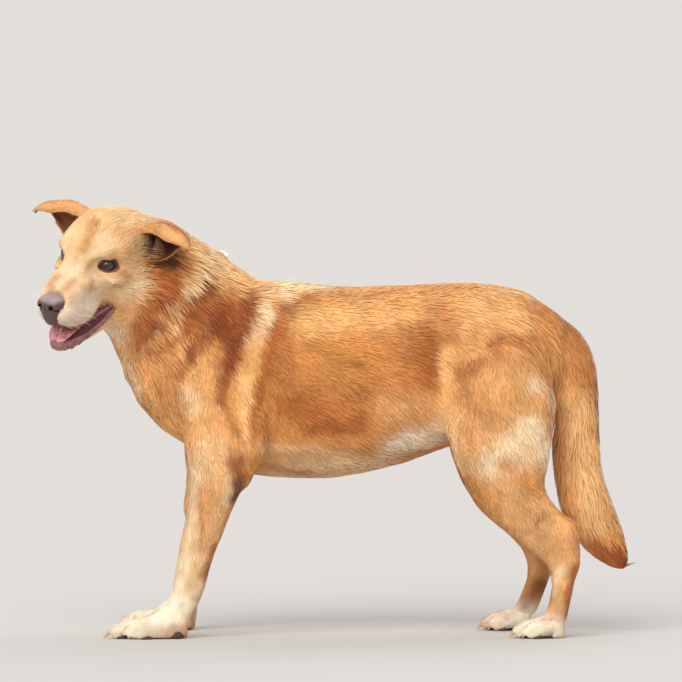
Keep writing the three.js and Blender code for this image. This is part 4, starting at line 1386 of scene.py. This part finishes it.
def eyelids(side):
    """Both lids as one sheet: rings from inside the opening out to the haired skin, each with its colour."""
    middle, axis, medial, upward = eye_frame(side)
    rows = np.array(LIDS, float)
    padded = np.concatenate([rows[-2:], rows, rows[:3]])
    places = (np.arange(LID_TURNS) / LID_TURNS * len(rows) + 2) / (len(padded) - 1)
    outlines = curve_at(padded, places)  # turn, edge, and towards the nose or up
    points, colours = [], []
    for stage, lift in LID_STAGES:
        first = min(int(stage), 1)
        flat = between(outlines[:, first], outlines[:, first + 1], stage - first)
        reach = np.linalg.norm(flat, axis=1)
        out = dome(reach) + lift
        ring = middle + medial * flat[:, :1] + upward * flat[:, 1:] + axis * out[:, None]
        laid = on_head(ring)
        for _ in range(4):
            short = lift - sampled(hide, laid)
            if stage < LID_ON_HIDE:
                short = np.maximum(short, 0) * smooth_step(2, 8, flat[:, 0])
            laid = laid + outward_normal(hide, laid) * short[:, None]
        laid = in_head(laid)
        if stage > LID_ON_HIDE:
            for _ in range(3):
                laid = (np.roll(laid, 1, axis=0) + 2 * laid + np.roll(laid, -1, axis=0)) / 4
        points.append(laid if stage > 0.1 else ring)
        lower = (smooth_step(1, -5, flat[:, 1]) * smooth_step(11, 3, flat[:, 0]))[:, None]
        colour = between(linear(LID_RIM), linear(LID_LOWER), lower * (0.1 < stage < 0.9))
        # The haired edge is painted a little darker than its hair, as painted shade round the eye.
        haired = coat_colour(on_head(points[-1])) * 0.85
        colours.append(between(colour, haired, smooth_step(0.85, 1.25, stage)))
    faces = sheet_faces(len(LID_STAGES), LID_TURNS, closed_columns=True)
    if side < 0:
        faces = faces[:, ::-1]
    return on_head(np.concatenate(points)), faces, np.concatenate(colours)


for word, side in SIDES.items():
    points, faces, colours = eyelids(side)
    lids = mesh_object(f"eyelids_{word}", points, faces, lid_finish, hair=colours)
    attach(lids, "root")

# ---------- Nose ----------
# Bare pebbled leather over gristle, with two comma-shaped nostrils and a groove down to the lip. It is
# one mass, seated in a hollow of the hide and run in at its sides.
NOSE_VOXEL = 0.8
NOSE_LOW = np.array([44.0, -26.4, -72.0])
NOSE_SHAPE = (64, 67, 70)
FAR_OFF = 20.0  # what an empty grid holds before the first mass is put in it
NOSE_FORMS = [
    ("add", (68, 0, -36), (19, 16.5, 11.5), 4),  # the pad
    ("add", (69, 9.5, -36), (15.5, 8.5, 10.5), 5),  # a wing
    ("add", (71, 0, -47), (12, 13, 12), 6),  # narrowing to the lip
    ("add", (70, 0, -57), (9, 9.5, 9), 6),
    ("cut", (98, 0, -36), (12, 40, 40), 3),  # blunt front
    ("cut", (92, 8.6, -37.5), (15, 3.4, 4.2), 2.5),  # nostril
    ("cut", (80, 16.5, -41), (11, 6, 1.7), 2),  # its slit
    ("cut", (88.5, 0, -50), (6.5, 0.9, 18), 2),  # groove
    ("cut", (72, 0, 5), (60, 50, 30), 5),  # flat top
]
NOSTRIL_MIDDLE, NOSTRIL_REACH = (90, 8.6, -37.5), (12, 3.6, 4.4)
NOSE_PEBBLE = 1.11
NOSE_PATCH = 11.1
# The top's colour is the leather's own mauve with a painted highlight in it.
NOSE_TOP_AND_HIGHLIGHT = "#a39091"
NOSE_FRONT = "#5e423f"
# Painted shade, near black, deep in the nostrils.
NOSTRIL_SHADE = "#120a0a"

# Moist leather shines softly over its pebbles. With age its colour has faded in patches. It is paler on top,
# partly its own mauve and partly a painted highlight of the light from above.
nose_finish, tree, shader = new_material("bare nose leather", Roughness=0.4, Specular_IOR_Level=0.5)
place = {"Vector": add_node(tree, "ShaderNodeNewGeometry").outputs["Position"]}
pebbles = add_node(tree, "ShaderNodeTexVoronoi", {"Scale": 1 / (NOSE_PEBBLE * MM)}, place)
patch = add_node(tree, "ShaderNodeTexNoise", {"Scale": 1 / (NOSE_PATCH * MM), "Detail": 4.0}, place)
tone = add_node(tree, "ShaderNodeAttribute", {"attribute_name": "hair"})
shade = add_node(tree, "ShaderNodeMapRange", {"To Min": 0.75, "To Max": 1.2}, {0: patch.outputs[0]})
toned = add_node(tree, "ShaderNodeMix", MULTIPLIED, {6: tone.outputs["Color"], 7: shade.outputs[0]})
bump = add_node(tree, "ShaderNodeBump", {"Strength": 0.6, "Distance": 0.0005}, {"Height": pebbles.outputs[0]})
tree.links.new(toned.outputs[2], shader.inputs["Base Color"])
tree.links.new(bump.outputs[0], shader.inputs["Normal"])

nose_places = folded(grid_points(NOSE_LOW, NOSE_SHAPE, NOSE_VOXEL))
nose_field = shaped(np.full(NOSE_SHAPE, FAR_OFF, np.float32), nose_places, NOSE_FORMS)
points, faces = surface(nose_field, NOSE_LOW, NOSE_VOXEL)
# Paler on top: the leather's own mauve, and a painted highlight.
top_and_highlight = smooth_step(-33, -26, points[:, 2])[:, None]
# The nostrils are painted near black, as the shade inside them.
inside = smooth_step(0.8, 0.0, egg(folded(points), NOSTRIL_MIDDLE, NOSTRIL_REACH))[:, None]
colours = between(between(linear(NOSE_FRONT), linear(NOSE_TOP_AND_HIGHLIGHT), top_and_highlight), linear(NOSTRIL_SHADE), inside)
nose = mesh_object("nose_leather", on_head(points), faces, nose_finish, hair=colours)
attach(nose, "root")
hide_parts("nose")

# ---------- Lips ----------
# Bare, dark, wet skin edges both lips from corner to corner, thick and notched on the lower one. Each row
# is a place on a lip's left half, from the corner forward, and half the lip's width and height there.
UPPER_LIP = [
    ((-27, 33, -57), (1.2, 1.6)),
    ((-12, 31, -60), (1.6, 2.0)),
    ((4, 26, -65.5), (1.5, 1.8)),
    ((22, 21, -72), (1.4, 1.6)),
    ((42, 17, -74), (1.4, 1.6)),
    ((56, 11, -69), (1.4, 1.6)),
    ((67, 3, -64), (1.6, 1.8)),
]
LOWER_LIP = [
    ((-27, 33, -60), (1.4, 1.6)),
    ((-14, 32, -70), (2.0, 3.0)),
    ((2, 28.5, -80), (2.2, 3.4)),
    ((20, 24, -88), (2.6, 4.2)),
    ((38, 19, -93.5), (3.2, 5.6)),
    ((50, 13, -96.5), (3.6, 6.6)),
    ((60, 5, -96), (4.0, 6.8)),
]
LOWER_NOTCH = 0.16  # how deep the notches are, of the lip's height
LIP_RINGS, LIP_TURNS = 120, 14
LIP_PATCH = 3.85
LIP_DARK = "#7b5153"
LIP_RED = "#a26f6c"


def around_the_mouth(stations):
    """Stations of the left side carried on round the front to the right corner."""
    left = np.array(stations, float)
    right = left[::-1] * ([1, -1, 1] if left.shape[1] == 3 else [1, 1])
    return np.concatenate([left, right])


def swept(path, sizes, along, around, notch=0.0):
    """A closed tube of oval sections along a path, as thick and as tall as its sizes say."""
    places = np.linspace(0, 1, along)
    middles = curve_at(path, places)
    size = curve_at(sizes, places)
    ahead = unit(np.gradient(middles, axis=0))
    aside = unit(np.cross(ahead, [0, 0, 1.0]))
    up = np.cross(aside, ahead)
    turn = np.arange(around) * math.tau / around
    teeth = 1 + notch * np.sin(places * along * 0.9)[:, None] * np.maximum(-np.sin(turn), 0)[None]
    rings = middles[:, None] + aside[:, None] * (size[:, :1, None] * np.cos(turn)[None, :, None])
    rings = rings + up[:, None] * (size[:, 1:2, None] * (np.sin(turn)[None] * teeth)[..., None])
    return rings.reshape(-1, 3), capped(sheet_faces(along, around, closed_columns=True), around, along - 1)


# Wet lip skin glints in points. Its dark tone breaks up into red between folds a few millimetres wide.
lip_finish, tree, shader = new_material("wet dark lip skin", Roughness=0.32, Specular_IOR_Level=0.5)
place = {"Vector": add_node(tree, "ShaderNodeNewGeometry").outputs["Position"]}
patch = add_node(tree, "ShaderNodeTexNoise", {"Scale": 1 / (LIP_PATCH * MM), "Detail": 4.0}, place)
tint = add_node(tree, "ShaderNodeMix", {"data_type": "RGBA", 6: rgba(LIP_DARK), 7: rgba(LIP_RED)})
spread = add_node(tree, "ShaderNodeMapRange", {"From Min": 0.38, "From Max": 0.66}, {0: patch.outputs[0]})
tree.links.new(spread.outputs[0], tint.inputs[0])
bump = add_node(tree, "ShaderNodeBump", {"Strength": 0.5, "Distance": 0.0006}, {"Height": patch.outputs[0]})
tree.links.new(tint.outputs[2], shader.inputs["Base Color"])
tree.links.new(bump.outputs[0], shader.inputs["Normal"])

for name, rows, notch in (("lip_upper", UPPER_LIP, 0.0), ("lip_lower", LOWER_LIP, LOWER_NOTCH)):
    path, sizes = (around_the_mouth([row[column] for row in rows]) for column in (0, 1))
    points, faces = swept(path, sizes, LIP_RINGS, LIP_TURNS, notch)
    lip = mesh_object(name, on_head(points), faces, lip_finish)
    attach(lip, "root")

# ---------- Tongue ----------
# Soft wet flesh that lies in the jaw with its edges turned up and its tip over the lower lip. Each row is
# a place on its middle line, its half width there, how far its edges turn up, and its thickness.
TONGUE = [
    ((-34, 0, -64), 17, 2, 6),
    ((-12, 0, -69), 18, 3, 6),
    ((10, 0, -75), 18.5, 4, 5.5),
    ((30, 0, -79.5), 18.5, 4, 5),
    ((44, 0, -82), 18.5, 3, 4.6),
    ((53, 0, -84.5), 16.5, 1, 4),
    ((60, 0, -88), 12, -1, 3.4),
    ((63.5, 0, -91), 4.5, -1, 2),
]
TONGUE_RINGS, TONGUE_TURNS = 60, 36
TONGUE_GROOVE = (1.6, 2.2)  # its depth and half its width
TONGUE_PATCH = 7.14
TONGUE_BUD = 0.91
TONGUE_PINK = "#d98f92"
TONGUE_DEEP = "#a8585f"

# Wet flesh glows a little through its surface. It is pink with deeper patches, and its buds roughen it.
tongue_finish, tree, shader = new_material("wet tongue", Roughness=0.35, Specular_IOR_Level=0.5)
shader.inputs["Subsurface Weight"].default_value = 0.1
shader.inputs["Subsurface Scale"].default_value = 0.004
place = {"Vector": add_node(tree, "ShaderNodeNewGeometry").outputs["Position"]}
patch = add_node(tree, "ShaderNodeTexNoise", {"Scale": 1 / (TONGUE_PATCH * MM), "Detail": 3.0}, place)
buds = add_node(tree, "ShaderNodeTexVoronoi", {"Scale": 1 / (TONGUE_BUD * MM)}, place)
tint = add_node(tree, "ShaderNodeMix", {"data_type": "RGBA", 6: rgba(TONGUE_DEEP), 7: rgba(TONGUE_PINK)})
spread = add_node(tree, "ShaderNodeMapRange", {"From Min": 0.3, "From Max": 0.55}, {0: patch.outputs[0]})
tree.links.new(spread.outputs[0], tint.inputs[0])
bump = add_node(tree, "ShaderNodeBump", {"Strength": 0.4, "Distance": 0.0004}, {"Height": buds.outputs[0]})
tree.links.new(tint.outputs[2], shader.inputs["Base Color"])
tree.links.new(bump.outputs[0], shader.inputs["Normal"])

stations = np.array([(*row[0], *row[1:]) for row in TONGUE])
rows = curve_at(stations, np.linspace(0, 1, TONGUE_RINGS))
turn = np.arange(TONGUE_TURNS) * math.tau / TONGUE_TURNS
ring_y = np.cos(turn)[None] * rows[:, 3:4]
edge = np.abs(np.cos(turn))[None]
ring_z = rows[:, 2:3] + np.sin(turn)[None] * rows[:, 5:6] * 0.5 + rows[:, 4:5] * edge**2.5
ring_z -= TONGUE_GROOVE[0] * np.exp(-((ring_y / TONGUE_GROOVE[1]) ** 2)) * (np.sin(turn)[None] > 0)
ring_x = np.repeat(rows[:, 0:1], TONGUE_TURNS, axis=1)
points = np.stack([ring_x, ring_y, ring_z], axis=-1).reshape(-1, 3)
faces = capped(sheet_faces(TONGUE_RINGS, TONGUE_TURNS, closed_columns=True), TONGUE_TURNS, TONGUE_RINGS - 1)
tongue = mesh_object("tongue_flesh", on_head(points), faces, tongue_finish)
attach(tongue, "root")
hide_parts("tongue")

# ---------- Collar ----------
# A sandy webbing band round the neck, sunk in the coat and laid over by the hair before it. Only its
# white keeper shows, at the nape.
WEB_WIDTH = 9.6
WEB_THICKNESS = 2.2
WEB_SUNK = 1.9  # how far its back lies in the hide
WEB_THREAD = 0.9
WEB_SANDY = "#c9ab83"
RIM_TURNS = 20  # points round the band's section
KEEPER_WIDTH, KEEPER_THICKNESS = 13.5, 7.5
KEEPER_LIFT = 11
KEEPER_ANGLE = 14  # degrees from straight up towards the dog's left
KEEPER_WHITE = "#f1f0ee"

# Woven nylon is dull. Its threads are drawn as a check, since they are too fine to be seen one by one.
web_finish, tree, shader = new_material("sandy woven webbing", Roughness=0.75, Specular_IOR_Level=0.3)
shader.inputs["Base Color"].default_value = rgba(WEB_SANDY)
thread = {"Vector": add_node(tree, "ShaderNodeAttribute", {"attribute_name": "strand"}).outputs["Vector"]}
weave = add_node(tree, "ShaderNodeTexChecker", {"Scale": 1.0}, thread)
bump = add_node(tree, "ShaderNodeBump", {"Strength": 0.5, "Distance": 0.0003}, {"Height": weave.outputs[1]})
tree.links.new(bump.outputs[0], shader.inputs["Normal"])
# Moulded plastic is plain and has a soft gloss, which catches the light on the nape.
keeper_finish, tree, shader = new_material("white moulded plastic", Roughness=0.3, Specular_IOR_Level=0.5)
shader.inputs["Base Color"].default_value = rgba(KEEPER_WHITE)

collar_up = unit(np.cross(COLLAR_FACING, [0.0, 1.0, 0.0]))
collar_up *= np.sign(collar_up[2])
collar_aside = np.cross(COLLAR_FACING, collar_up)


def collar_ring(count):
    """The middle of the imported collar, and how far the hide is from it by the angle from straight up."""
    points, _ = node_mesh("collar")
    turned = np.arange(count) * math.tau / count
    spoke = collar_up * np.cos(turned)[:, None] + collar_aside * np.sin(turned)[:, None]
    reach = np.full(count, 60.0)
    for _ in range(30):
        reach = np.clip(reach - 0.8 * sampled(hide, points.mean(0) + spoke * reach[:, None]), 20, 110)
    for _ in range(6):
        reach = (np.roll(reach, 1) + reach + np.roll(reach, -1)) / 3
    return points.mean(0), turned, reach + WEB_THICKNESS - WEB_SUNK


def collar_band(width, thickness, spread=None, lift=0.0):
    """A band with rounded edges round the neck, or only the stretch of it round an angle."""
    middle, turned, outer = collar_ring(240)
    if spread is not None:
        outer = np.interp(spread, turned, outer, period=math.tau)
        turned = spread
    corner = np.arange(RIM_TURNS) * math.tau / RIM_TURNS
    aside = np.sign(np.cos(corner)) * np.abs(np.cos(corner)) ** 0.3 * width / 2
    out = np.sign(np.sin(corner)) * np.abs(np.sin(corner)) ** 0.5 * thickness / 2 - thickness / 2
    spoke = collar_up * np.cos(turned)[:, None] + collar_aside * np.sin(turned)[:, None]
    points = middle + spoke[:, None] * (outer[:, None, None] + lift + out[None, :, None])
    points = points + (aside[:, None] * COLLAR_FACING)[None]
    along_web, over_web = np.repeat(turned * 90, RIM_TURNS), np.tile(aside / WEB_THREAD, len(turned))
    return points.reshape(-1, 3), len(turned), np.stack([along_web, over_web, 0 * over_web], axis=1)


points, rows, strand_at = collar_band(WEB_WIDTH, WEB_THICKNESS)
faces = sheet_faces(rows, RIM_TURNS, closed_rows=True, closed_columns=True)
band = mesh_object("collar_band", points, faces[:, ::-1], web_finish, strand=strand_at)
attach(band, "root")
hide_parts("collar")

at = math.radians(KEEPER_ANGLE)
stretch = np.linspace(at - 0.065, at + 0.065, 9)
points, rows, _ = collar_band(KEEPER_WIDTH, KEEPER_THICKNESS, stretch, KEEPER_LIFT)
faces = capped(sheet_faces(rows, RIM_TURNS, closed_columns=True), RIM_TURNS, rows - 1)
keeper = mesh_object("collar_keeper", points, faces[:, ::-1], keeper_finish)
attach(keeper, "root")

# ---------- Claws and pads ----------
# Each toe ends in a worn, pale horn claw that curves to the ground. Dark, rough pads carry the feet: one
# under each toe and a wide one behind them, half sunk in the hide.
CLAW_STAGES = [  # each how far past the toe's end, how high, and half as thick as the claw is there
    (8, 9.5, 2.4),
    (2, 8.6, 2.3),
    (-2.5, 6.6, 1.9),
    (-6.0, 3.8, 1.3),
    (-8.4, 1.2, 0.5),
]
CLAW_REACH = {"fore": 1.1, "hind": 0.7}  # how far they stand out
CLAW_RINGS, CLAW_TURNS = 14, 12
CLAW_HORN = "#bf9473"
CLAW_TIP = "#f0d2ae"
PAD_DARK = "#5d4740"
PAD_PEBBLE = 1.43
PAD_FORMS = {
    "fore": [((-206, 0, 5), (11, 19, 10))],
    "hind": [((284, 0, 5), (14, 15, 10))],
}
TOE_PAD = (14, 1.5, (8, 4.8, 3.6))  # how far behind the toe's end, how high, and its reaches
PAD_VOXEL = 1.2
PAD_LOW = (-6, -31.2, -1.2)  # the low corner of a foot's block, from its longest toe's end
PAD_SHAPE = (100, 53, 16)
PAD_SOLE = 0.25  # how high its flat underside is

# Worn horn has a soft gloss and is paler towards its tip.
claw_finish, tree, shader = new_material("pale horn claw", Roughness=0.38, Specular_IOR_Level=0.5)
place = add_node(tree, "ShaderNodeAttribute", {"attribute_name": "hair"})
tree.links.new(place.outputs["Color"], shader.inputs["Base Color"])
# Pad skin is dry, dull and pebbled like coarse sandpaper.
pad_finish, tree, shader = new_material("rough dark pad skin", Roughness=0.85, Specular_IOR_Level=0.3)
grain = add_node(tree, "ShaderNodeTexVoronoi", {"Scale": 1 / (PAD_PEBBLE * MM)})
bump = add_node(tree, "ShaderNodeBump", {"Strength": 0.7, "Distance": 0.0006}, {"Height": grain.outputs[0]})
shader.inputs["Base Color"].default_value = rgba(PAD_DARK)
tree.links.new(bump.outputs[0], shader.inputs["Normal"])


def claw(end, y, reach):
    """One claw in its foot's own frame."""
    stages = [(end + reach * x, y, z, size) for x, z, size in CLAW_STAGES]
    stages = curve_at(stages, np.linspace(0, 1, CLAW_RINGS))
    turn = np.arange(CLAW_TURNS) * math.tau / CLAW_TURNS
    ahead = unit(np.gradient(stages[:, :3], axis=0))
    up = unit(np.cross(ahead, [0, 1.0, 0]))
    size = stages[:, 3, None, None]
    rings = stages[:, None, :3] + size * np.cos(turn)[None, :, None] * np.array([0, 0.8, 0])
    rings = rings + up[:, None] * size * np.sin(turn)[None, :, None]
    faces = sheet_faces(CLAW_RINGS, CLAW_TURNS, closed_columns=True)
    return rings.reshape(-1, 3), capped(faces, CLAW_TURNS, CLAW_RINGS - 1)


for foot, (word, *_) in FEET.items():
    kind = FOOT_KINDS[word]
    points, faces = joined_meshes([claw(end, y, CLAW_REACH[word]) for y, end in toe_ends(kind)])
    fade = smooth_step(9, 1, points[:, 2])[:, None]
    colours = between(linear(CLAW_HORN), linear(CLAW_TIP), 0.3 * fade)
    claws = mesh_object(f"claws_{foot}", on_foot(foot, points), faces, claw_finish, hair=colours)
    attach(claws, "root")

    low = np.array([kind["tip"] + PAD_LOW[0], *PAD_LOW[1:]])
    pad_places = grid_points(low, PAD_SHAPE, PAD_VOXEL)
    field = np.full(PAD_SHAPE, FAR_OFF, np.float32)
    behind, lift, reaches = TOE_PAD
    for middle, reach in PAD_FORMS[word] + [((end + behind, y, lift), reaches) for y, end in toe_ends(kind)]:
        field = np.minimum(field, egg(pad_places, middle, reach))
    field = np.maximum(field, PAD_SOLE - pad_places[..., 2])
    points, faces = surface(field, low, PAD_VOXEL)
    pads = mesh_object(f"pads_{foot}", on_foot(foot, points), faces, pad_finish)
    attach(pads, "root")

# ---------- Whiskers ----------
# Stiff, pale single hairs: four rows on each side of the muzzle, a few over each eye and on the cheek,
# and soft white ones that hang from the front of the upper lip.
WHISKER_ROWS = [
    # first and last root in the head's frame, how many, length, the way they point
    ((56, 13, -46), (40, 20, -44), 3, 22, (-0.1, 1, 0.25)),
    ((58, 12, -52), (40, 21, -52), 3, 24, (-0.1, 1, 0.1)),
    ((57, 12, -58), (42, 20, -59), 3, 20, (0.1, 0.9, -0.1)),
    ((6, 22, 26), (0, 28, 24), 3, 26, (0.3, 0.6, 0.8)),
    ((-54, 71, -28), (-56, 72, -30), 1, 18, (-0.3, 1, -0.4)),
    ((40, 10, -108), (24, 12, -110), 3, 14, (-0.2, 0.5, -0.9)),
]
LIP_HAIRS = [((66, 3, -62), (54, 13, -70), 9, 19, (0.35, 0.1, -1.0))]
# How far the roots and the ways of each kind stray, its shortest and longest share, and how it droops.
STIFF = (1.0, 0.15, (0.6, 1.1), 0.12)
SOFT = (0.7, 0.16, (0.55, 1.1), 0.25)
WHISKER_WIDTH = 0.32
WHISKER_WHITE = "#f2e6d2"


def whisker_line(roots, way, length, droop):
    """Curved lines from roots on the coat's top, with the normals that their blades need."""
    normal = outward_normal(coat_top, roots)
    roots = roots - normal * (sampled(coat_top, roots) + 1.5)[:, None]
    line = []
    for stage in (0, 0.33, 0.67, 1.0):
        fall = np.array([0, 0, -1]) * (droop * length * stage**2)[:, None]
        line.append(roots + way * (length * stage)[:, None] + fall)
    return line, unit(np.cross(way, [0.1, 0.2, 1.0]))


whiskers = []
for rows, (root_stray, way_stray, shares, droop) in ((WHISKER_ROWS, STIFF), (LIP_HAIRS, SOFT)):
    for start, stop, count, reach, way in rows:
        for side in (1, -1):
            for step in range(count):
                place = between(np.array(start), np.array(stop), step / max(count - 1, 1))
                place = place + chance.normal(0, root_stray, 3)
                aim = np.array(way) + chance.normal(0, way_stray, 3)
                length = reach * chance.uniform(*shares)
                whiskers.append((*place * [1, side, 1], *aim * [1, side, 1], length, droop))
whiskers = np.array(whiskers)
line, normal = whisker_line(
    on_head(whiskers[:, :3]), unit(whiskers[:, 3:6]) @ HEAD_TURN.T, whiskers[:, 6], whiskers[:, 7]
)
colour = np.tile(linear(WHISKER_WHITE), (len(normal), 1))
coat_piece("whiskers", line, normal, np.full(len(normal), WHISKER_WIDTH), colour, "head")

# Coarse pale hairs stand up out of the coat on the crown and nape, the withers and the croup.
STRAY_LINES = [
    ((-262, 10, 556), (-190, 24, 524), 16),
    ((-150, 20, 490), (-30, 20, 470), 14),
    ((90, 20, 470), (262, 20, 450), 10),
]
STRAY_WIDTH = 0.4
STRAY_PALE = "#e9d3ae"
stray_roots = []
for start, stop, count in STRAY_LINES:
    place = between(np.array(start), np.array(stop), chance.random((count, 1)))
    stray_roots.append(place + chance.normal(0, 9, (count, 3)))
stray_roots = np.concatenate(stray_roots)
stray_ways = unit(np.array([0.75, 0, 0.7]) + chance.normal(0, 0.25, stray_roots.shape))
for _ in range(3):
    above = sampled(coat_top, stray_roots)[:, None]
    stray_roots = stray_roots - outward_normal(coat_top, stray_roots) * above
line, normal = whisker_line(stray_roots, stray_ways, chance.uniform(9, 17, len(stray_roots)), 0.1)
colour = np.tile(linear(STRAY_PALE), (len(normal), 1))
coat_piece("stray_hairs", line, normal, np.full(len(normal), STRAY_WIDTH), colour, "trunk")

# ---------- Set: a plain floor that meets an even pale room, and soft light ----------
# A broad soft light high on the camera's side, a weaker one behind, and the room's own even light. Both
# are as far off as the sky, so that the floor stays one shade out to where it meets the room.
FLOOR_SHADE = "#cecbc7"
ROOM_LIGHT = 0.64
LAMPS = [
    # name, the way it shines from, how wide it looks in degrees, its strength
    ("key", (-0.35, -1.0, 0.8), 50, 2.3),
    ("rim", (0.45, 0.8, 0.9), 60, 0.7),
]
FLOOR_SIZE = 400  # in metres, out of sight of any view
# Matt paint that mirrors nothing, so that only the dog's shadow marks it.
floor_finish, tree, shader = new_material("matt pale grey floor", Roughness=1.0, Specular_IOR_Level=0.0)
shader.inputs["Base Color"].default_value = rgba(FLOOR_SHADE)
bpy.ops.mesh.primitive_plane_add(size=FLOOR_SIZE)
floor = bpy.context.object
floor.name = "floor"
floor.data.materials.append(floor_finish)

for name, place, width, strength in LAMPS:
    lamp = bpy.data.objects.new(name, bpy.data.lights.new(name, "SUN"))
    scene.collection.objects.link(lamp)
    lamp.data.angle = math.radians(width)
    lamp.data.energy = strength
    lamp.location = place
    lamp.rotation_euler = (-lamp.location).to_track_quat("-Z", "Y").to_euler()

# What the camera sees beyond the floor has the floor's own shade.
lit = ROOM_LIGHT + sum(lamp[3] / math.pi * Vector(lamp[1]).normalized().z for lamp in LAMPS)
world = bpy.data.worlds.new("pale room")
scene.world = world
world.use_nodes = True
tree = world.node_tree
room = tree.nodes["Background"]
to_camera = {0: add_node(tree, "ShaderNodeLightPath").outputs["Is Camera Ray"]}
seen = (*(linear(FLOOR_SHADE) * lit), 1.0)
even = (ROOM_LIGHT, ROOM_LIGHT, ROOM_LIGHT, 1.0)
level = add_node(tree, "ShaderNodeMix", {"data_type": "RGBA", 6: even, 7: seen}, to_camera)
tree.links.new(level.outputs[2], room.inputs["Color"])
